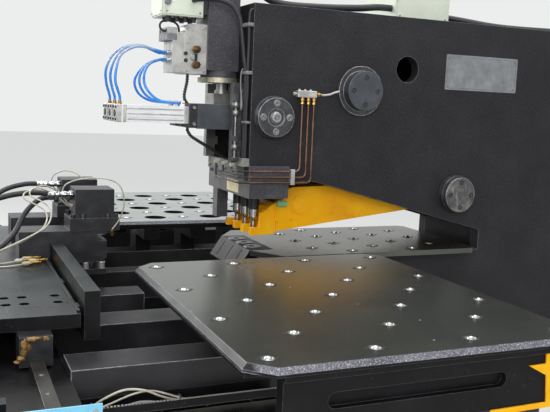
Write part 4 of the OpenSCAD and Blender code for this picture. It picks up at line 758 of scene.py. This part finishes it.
putMesh("lube_nuts", joined([
    spun(brassDown, toFloor, 24, (2, 3, 6, 7), grid(lubrication["pipes"], lubrication["y"], 1577.8)),
    turned(brassAcross, (214.5, -293, 1593), (1, 0, 0), 24, hexRows=(2, 3))]), "brassTurned")
putMesh("ledge_nuts", joined([
    spun(brassAcross, toLeft, 24, (2, 3), grid(-133.8, lubrication["ledge"], 1257)),
    spun([(0, 7.2), (9, 7.2), (10, 5.5)], toFloor, 20, (), grid(-154, lubrication["ledge"], 1256.5))]),
    "signalCable")
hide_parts("lubrication_manifold")
print("lubrication made")

# nameplate: a bare plate with a pressed border line and a screw at each corner
plateFrame = {"left": 940, "right": 1386, "low": 1650, "high": 1825, "y": -278, "line": 4, "inset": 8}
left, right, low, high = (plateFrame[k] for k in ("left", "right", "low", "high"))
inset, line, plateY = (plateFrame[k] for k in ("inset", "line", "y"))
x0, x1, z0, z1 = left + inset, right - inset, low + inset, high - inset
bars = [(x0, x1, z0, z0 + line), (x0, x1, z1 - line, z1),
        (x0, x0 + line, z0 + line, z1 - line), (x1 - line, x1, z0 + line, z1 - line)]
putMesh("nameplate_border", blocks([[[a, plateY - 0.8, c], [b, plateY, d]] for a, b, c, d in bars], 0.3),
    "greyPlastic")
putMesh("nameplate_screws",
    screws(toNear, 9, 3.5, grid((left + 18, right - 18), plateY + 0.2, (low + 18, high - 18))), "greyPlastic")

# junction box and cabinet: door lines, corner screws, a knob, gland nuts with their sleeves
boxDress = {"low": (-470, -110, 1917), "high": (-283, 90, 2157)}
x0, y0, z0 = boxDress["low"]
x1, y1, z1 = boxDress["high"]
putMesh("box_cover", joined([blocks([[[x0 + 4, y0 - 4, z0 + 5], [x1 - 4, y0 - 0.2, z1 - 5]],
    [[x0 - 4, y0 + 5, z0 + 5], [x0 - 0.2, y1 - 5, z1 - 5]]], 2),
    blocks([[[745, -103.5, 1997], [1050, -100.2, 2300]]], 2)]), "powderCoat")
putMesh("box_screws", joined([
    screws(toNear, 10, 4, grid((x0 + 16, x1 - 16), y0 - 3.8, (z0 + 18, z1 - 18))),
    screws(toLeft, 10, 4, grid(x0 - 3.8, (y0 + 18, y1 - 18), (z0 + 18, z1 - 18))),
    screws(toNear, 11, 4, grid((760, 1035), -103.2, (2012, 2285)))]), "machinedSteel")
putMesh("box_knob", turned(rowsOf("0 11, 6 11, 7 15, 18 14, 20 12"), (-452, y0 - 3.8, 1975), toNear, 28),
    "greyPlastic")
glandSpots = grid(range(-435, -300, 40), (-70, -10), 1917)
sleeve = [(0, 13.5), (8, 13.5), (8.5, 11.5)] + [(9.5 + 3.2 * k + 1.6 * h, 11.2 - 1.8 * h) for k in range(4)
    for h in (0, 1)]
putMesh("gland_sleeves", spun(sleeve, toFloor, 20, (0, 1), glandSpots), "blackNylon")
print("boxes dressed")

# valve block: three grey coils with dark seams, push-in fittings, two old brass silencers and screws
coilSpots = grid(0, (-52, 0, 52), 0)
coil = blocks([[[-439.6, -22.6, 1810.6], [-389.8, 22.6, 1840]], [[-438.6, -21.6, 1841.2], [-390.8, 21.6, 1869]]], 2)
putMesh("valve_coils", repeated(coil, coilSpots), "greyPlastic")
putMesh("valve_seams",
    joined([repeated(blocks([[[-439, -22, 1839.5], [-390.4, 22, 1841.5]], [[-440, -8, 1846], [-438.4, 8, 1862]]],
    0.4), coilSpots), blocks([[[-413.4, y - 1.2, 1670], [-412.2, y + 1.2, 1808]] for y in (-26, 26)], 0.4)]),
    "capBlack")
silencer = rowsOf("0 13, 3 13, 4 18.5, 14 18.5, 15 14.5, 22 14.5, 23 16.5, 33 16.5, 38 12, 40 2")
putMesh("silencers", spun(silencer, toNear, 24, (2, 3), grid(-306, -80.2, (1775, 1705))), "oldBrass")
putMesh("valve_plugs",
    joined([spun([(0, 9), (5, 9), (6, 8)], toNear, 24, (), [(-352, -80.2, 1755), (-351, -80.2, 1724)]),
    blocks([[[-312, -92, 1724], [-298, -80.2, 1756]]], 3)]), "blackNylon")
pushIn = rowsOf("0 10.5, 4 10.5, 5 8.8, 13 8.8, 14 9.8, 17 9, 17.5 6.5")
hoseStarts = grid(-413, (-40, 0, 40), (1724, 1758))
putMesh("valve_fittings", joined([
    spun(pushIn, toLeft, 24, (0, 1), hoseStarts),
    screws(toNear, 11, 6, grid((-347, -262), -79.8, (1676, 1872))),
    turned([(0, 14), (5, 14), (7, 12), (9, 12)], (-318, -80.2, 1740), toNear, 28)]), "machinedSteel")
print("valve block dressed")

# air cylinders: heads with tie screws and slots, nipples for the hoses, screws through the dark cap
airDress = {"z": 1475, "half": 38, "rows": (-110, 0, 110)}
z, h = airDress["z"], airDress["half"]
heads, dark, tie, brass = [], [], [], []
for y in airDress["rows"]:
    heads.append(blocks([[[x, y - h - 1.2, z - h - 1.2], [x + long, y + h + 1.2, z + h + 1.2]]
                         for x, long in ((-678.5, 23.5), (-651.2, 18.2), (-372, 19.5))], 2))
    heads.append(blocks([[[-631, y - h - 1.6, z + s * 24 - 3.5], [-374, y - h + 0.4, z + s * 24 + 3.5]]
        for s in (-1, 0, 1)], 0.8))
    dark.append(blocks([[[-655, y - h + 0.6, z - h + 0.6], [-651.2, y + h - 0.6, z + h - 0.6]]], 0.4))
    tie.append(screws(toLeft, 11, 5, grid(-678.3, (y - 27, y + 27), (z - 27, z + 27))))
    tie.append(turned([(0, 16), (3, 16), (3.5, 13), (3.7, 1)], (-678.4, y, z), toLeft, 28))
    brass.append(turned(rowsOf("0 9.8, 9 9.8, 10 7.8, 16 7.8, 16.5 6.5"), (-657, y, 1513.2), toTop, 24,
        hexRows=(0, 1)))
    brass.append(turned([(0, 10.5), (12, 10.5), (13, 9), (19, 9)], (-361, y, 1529), toLeft, 24, hexRows=(0, 1)))
putMesh("air_heads", joined(heads), "valveAlloy", "ram")
putMesh("air_grooves", joined(dark), "capBlack", "ram")
putMesh("air_ties", joined(tie), "capBlack", "ram")
putMesh("air_fittings", joined(brass), "brassTurned", "ram")
putMesh("ram_cap_screws", joined([
    screws(toNear, 16, 10, grid(-331, -165.2, (1437, 1511))),
    screws(toLeft, 14, 8, grid(-351.2, (-55, 55), (1430, 1518)))]), "capSteel", "ram")
print("air cylinders dressed")

# clamps: crimped hose adaptors, bright foot screws, plate bolts, a sensor connector and lead plugs
clampDress = {"hoses": ((200, 1075), (270, 1055), (650, 1075)), "footX": (-752, -676), "footY": (165, 315, 615, 765)}
adaptor = rowsOf("0 15, 3.9 19, 20.8 19, 23.4 13.5, 33.8 13.5, 35.1 16.5, 54.6 16.5, 55.9 12.5, 67.6 12.5, "
    "68.9 17.5, 78 17.5, 80.6 16, 88.4 16, 91 17.2, 98.8 17.2, 101.4 15.8, 109.2 15.8, 111.8 17, 119.6 16.5, "
    "122.2 14")
putMesh("hose_adaptors",
    spun(adaptor, toLeft, 30, (1, 2, 5, 6), [(-805.6, y, height) for y, height in clampDress["hoses"]]),
    "machinedSteel", "carriage")
footScrew = rowsOf("0 14.6, 26 14.6, 27 17.2, 31 17.2, 32 14.6, 34.5 14.6")
putMesh("clamp_foot_screws", spun(footScrew, toTop, 32, (), grid(clampDress["footX"], clampDress["footY"], 716.2)),
        "valveAlloy", "carriage")
plateBolt = rowsOf("0 14.2, 2 14.2, 2.2 12.5, 18 12.5, 20 11.2")
putMesh("clamp_plate_bolts", spun(plateBolt, toTop, 32, (), grid((-768, -650), (156.5, 323.5, 606.5, 773.5), 964.1)),
        "blackOxide", "carriage")
putMesh("plate_adaptors", spun(rowsOf("0 20.5, 10 20.5, 11 16.5, 17 16.5, 18 15"), toTop, 24, (0, 1),
    [(-1500, 20, 774.2), (-1300, -60, 774.2), (-1360, 480, 774.2)]), "machinedSteel", "carriage")
putMesh("sensor_connector", turned(rowsOf("0 6, 6 6, 7 9.8, 20 9.8, 21 8, 31 8, 33 4"),
                                   (-631, 140, 912), toFloor, 24, hexRows=(2, 3)), "brassTurned", "carriage")
leadPlugs = [(-1030, 20, 774.5), (-995, 70, 774.5), (-1055, 85, 774.5), (-1020, 130, 774.5)]
putMesh("lead_plugs", repeated(joined([hexNut((0, 0, 11), (1, 0.25, 0), 20, 18),
    turned([(0, 7.5), (30, 7.5), (32, 5.5), (40, 5.5)], (16, 4, 11), (1, 0.25, 0), 20)]), leadPlugs), "brassTurned",
    "carriage")
putMesh("plug_boots", repeated(turned([(0, 9.5), (22, 9.5), (30, 6)], (0, 0, 11), (-1, -0.25, 0), 20), leadPlugs),
    "signalCable", "carriage")
print("clamps dressed")

# guide rod: one profile with its three balls, and straps that hold the hoses on the nose
guideRod = {"x": -150, "y": -220.3, "low": 1278, "rod": 5.3, "ball": 16.3, "balls": (1339, 1494, 1530), "high": 1578}
profile = [(guideRod["low"] + 1, guideRod["rod"])]
for zBall in guideRod["balls"]:
    reach = math.sqrt(guideRod["ball"] ** 2 - guideRod["rod"] ** 2)
    lean = np.linspace(-1, 1, 13) * math.asin(reach / guideRod["ball"])
    profile += [(zBall + guideRod["ball"] * math.sin(a), guideRod["ball"] * math.cos(a)) for a in lean]
profile.append((guideRod["high"] - 1, guideRod["rod"]))
putMesh("guide_rod", turned(profile, (guideRod["x"], guideRod["y"], 0), toTop, 32), "cupSteel")
putMesh("hose_straps", joined([blocks([[[-126.2, -279, 1880], [-98.4, -200, 1896]],
    [[-127.5, -279, 1668], [-98.4, -222, 1684]], [[-126.2, -277, 1448], [-98.4, -224, 1460]]], 3),
    screws(toLeft, 8, 4, [(-126, -252, 1888), (-127.3, -252, 1676)])]), "greyPlastic")

# rails: the caps over their fixing screws, one row along each rail
railCap = [(0, 8.8), (0.1, 8.6)]
putMesh("cross_rail_caps", spun(railCap, toTop, 24, (), grid((-1480.5, -1096.5), np.arange(-1400, 2100, 170), 645)),
    "capBlack", "worktable")
putMesh("long_rail_caps", spun(railCap, toTop, 24, (), grid(np.arange(-1700, 900, 170), (-1000.5, 1000.5), 450)),
    "capBlack")

# holder: a bare label on its front and screws along the ledge
putMesh("holder_label", blocks([[[-98.6, -150, 1118], [-98.1, 10, 1176]]], 0.2), "paperLabel")
putMesh("ledge_screws", screws(toLeft, 14, 6, grid(-134.2, (-170, -60, 60, 170), 1228)), "capSteel")

# stripper arm: pivot ring, painted screws, a weld bead along the nose piece and the small green sensor
armBead = np.array(grid(83, -181.2, np.linspace(928, 1060, 12)))
armBead[1::2, 0] += 0.6  # every other point of the bead stands out a little
putMesh("arm_details", joined([
    washer(20, 26, 3.5, (203, -180.8, 1061), toNear, 40), washer(40, 43, 2, (203, -180.8, 1061), toNear, 48),
    screws(toNear, 17, 8, [(89, -180.6, 990), (174, -180.6, 993)]),
    alongPath(armBead, 3, 10)]), "yellowEnamel", "stripper_arm")
putMesh("arm_sensor", joined([blocks([[[88, -197, 1056], [138, -181.2, 1084]]], 3),
    blocks([[[100, -199, 1062], [126, -196.8, 1078]]], 1)]), "greenMoulding", "stripper_arm")

# cable tray along the near cross beam: a thin channel whose upper edge is slotted
tray = {"x": (-985, -280), "y": (-1114, -1037.5), "z": (499.5, 530), "wall": 1.8, "tooth": 12}
x0, x1 = tray["x"]
y0, y1 = tray["y"]
z0, z1 = tray["z"]
wall = tray["wall"]
putMesh("tray_sheet", blocks([[[x0, y0, z0], [x1, y1, z0 + wall]], [[x0, y0, z0 + wall], [x1, y0 + wall, z1]],
    [[x0, y1 - wall, z0 + wall], [x1, y1, z1 + 10]]], 0.4), "tableShadeBlack", "worktable")
teeth = np.arange(x0 + 4, x1 - 10, tray["tooth"])
putMesh("tray_edge", repeated(blocks([[[0, y0 - 0.3, z1 - 1], [7.8, y0 + wall + 0.3, z1 + 5]]], 0.8),
    np.column_stack([teeth, np.zeros((len(teeth), 2))])), "machinedGrey", "worktable")
clipSpots = [(-940, -1062, 517), (-925, -1080, 517), (-640, -1066, 517)]
putMesh("tray_clips", repeated(washer(10, 14, 9, origin, (1, 0.2, 0), 24), clipSpots), "machinedSteel", "worktable")

# end cover of the cross bed: a bare label and its screws
putMesh("cover_label", blocks([[[-1112, -1506.8, 628], [-1040, -1506.1, 690]]], 0.3), "paperLabel", "worktable")
putMesh("cover_screws", screws(toNear, 13, 4, grid((-1545, -1270, -1004), -1506, (320, 688))), "machinedSteel",
    "worktable")


def greaseLump(centre, size, phase):
    # a ball drawn out to three reaches, its radius rippled by sines of both angles so that it looks smeared
    u = np.linspace(0, np.pi, 15)[:, None]
    v = np.linspace(0, 2 * np.pi, 28, endpoint=False)[None, :]
    ripple = 1 + 0.16 * np.sin(3 * u + phase) * np.cos(2 * v + 2 * phase)
    ripple = ripple + 0.09 * np.sin(5 * v + phase) * np.sin(u) ** 2
    points = ripple[..., None] * np.stack([np.sin(u) * np.cos(v), np.sin(u) * np.sin(v), np.cos(u) + 0 * v], -1)
    for end in (0, -1):
        middle = points[end].mean(0)
        points[end] = middle + (points[end] - middle) * 0.01
    return (points * np.array(size) + np.array(centre)).reshape(-1, 3), [f[:, ::-1] for f in ringFaces(15, 28)]


grease = {"lumps": [((-1112, -903, 716), (22, 9, 10)), ((-1134, -903, 700), (13, 8, 20)),
    ((-1090, -903, 719), (14, 7, 6)), ((-1137, -904, 672), (10, 7, 17)), ((-1064, -903, 716), (12, 6, 9)),
    ((-1146, -906, 652), (15, 9, 10)), ((-1158, -908, 643), (12, 8, 6)), ((-1120, -903, 690), (10, 5, 12))]}
putMesh("old_grease", joined([greaseLump(c, s, 1.3 * k) for k, (c, s) in enumerate(grease["lumps"])]), "oldGrease",
    "carriage", 60)
print("small pieces made")

# return springs: round wire wound round the punch
springs = {"wire": 4.6, "turns": 6, "coil": 27.5, "low": 1260.8, "high": 1376.2, "seat": 1257, "pitch": 110}
for i in (-1, 0, 1):
    turn = np.linspace(0, 2 * np.pi * springs["turns"], springs["turns"] * 36)
    rise = np.interp(turn / turn[-1], [0, 0.12, 0.88, 1], [0, 0.03, 0.97, 1])
    coil = np.stack([springs["coil"] * np.cos(turn), i * springs["pitch"] + springs["coil"] * np.sin(turn),
                     springs["low"] + (springs["high"] - springs["low"]) * rise], -1)
    spring = putMesh("return_spring_%d" % (i + 2), alongPath(coil, springs["wire"] / 2, 10), "springSteel", "machine",
        60)
    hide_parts("punch_spring_%d" % (i + 2))
    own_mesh(spring)
print("springs made")

# stage: a pale floor and soft studio light
floorSize = 30.0
floorPoints = np.array([[-1, -1, 0], [1, -1, 0], [1, 1, 0], [-1, 1, 0]]) * floorSize
floorMesh = bpy.data.meshes.new("studioFloor")
floorMesh.from_pydata(floorPoints.tolist(), [], [(0, 1, 2, 3)])
studioFloor = bpy.data.objects.new("studioFloor", floorMesh)
scene.collection.objects.link(studioFloor)
floorFinish = bpy.data.materials.new("paleFloor")
floorFinish.use_nodes = True
floorTree = floorFinish.node_tree
floorTree.nodes.clear()
floorRay = addNode(floorTree, "LightPath")
floorPaint = addNode(floorTree, "BsdfDiffuse", {"Color": linear("dcdcd8")})
floorGlow = addNode(floorTree, "Emission", {"Color": linear("e9ebea")})
glowShare = addNode(floorTree, "Math", {"operation": "MULTIPLY", 1: 0.74}, {0: (floorRay, "Is Camera Ray")})
floorMix = addNode(floorTree, "MixShader", {}, {0: (glowShare, 0), 1: (floorPaint, 0), 2: (floorGlow, 0)})
addNode(floorTree, "OutputMaterial", {}, {"Surface": (floorMix, 0)})
floorMesh.materials.append(floorFinish)

lamps = {"window": {"size": (5, 3), "power": 330, "place": (-3.5, 4.5, 4.2), "aim": (0, 0, 0.9)},
         "overhead": {"size": (5, 5), "power": 260, "place": (0.5, -0.5, 5.5), "aim": (0.2, 0, 0.8)},
         "fill": {"size": (4, 3), "power": 170, "place": (-2.5, -5.0, 3.0), "aim": (0.2, 0, 1.1)}}
for lampName, lamp in lamps.items():
    light = bpy.data.lights.new(lampName, "AREA")
    light.shape = "RECTANGLE"
    light.size, light.size_y = lamp["size"]
    light.energy = lamp["power"]
    lampObject = bpy.data.objects.new(lampName, light)
    scene.collection.objects.link(lampObject)
    back = np.array(lamp["place"], float) - np.array(lamp["aim"], float)
    back /= np.linalg.norm(back)
    across = np.cross([0.0, 0.0, 1.0], back) + np.array([1e-6, 0, 0])
    across /= np.linalg.norm(across)
    over = np.cross(back, across)
    placeBy(lampObject, across, over, back, lamp["place"])

world = bpy.data.worlds.new("studioWorld")
scene.world = world
world.use_nodes = True
tree = world.node_tree
tree.nodes.clear()
seen = addNode(tree, "LightPath")
soft = addNode(tree, "Background", {"Color": linear("d3d8dc"), "Strength": 0.55})
shown = addNode(tree, "Background", {"Color": linear("eceeed"), "Strength": 1.0})
either = addNode(tree, "Math", {"operation": "MAXIMUM"}, {0: (seen, "Is Camera Ray"), 1: (seen, "Is Glossy Ray")})
worldMix = addNode(tree, "MixShader", {}, {0: (either, 0), 1: (soft, 0), 2: (shown, 0)})
addNode(tree, "OutputWorld", {}, {"Surface": (worldMix, 0)})
scene.view_settings.view_transform = "Standard"
print("stage made")
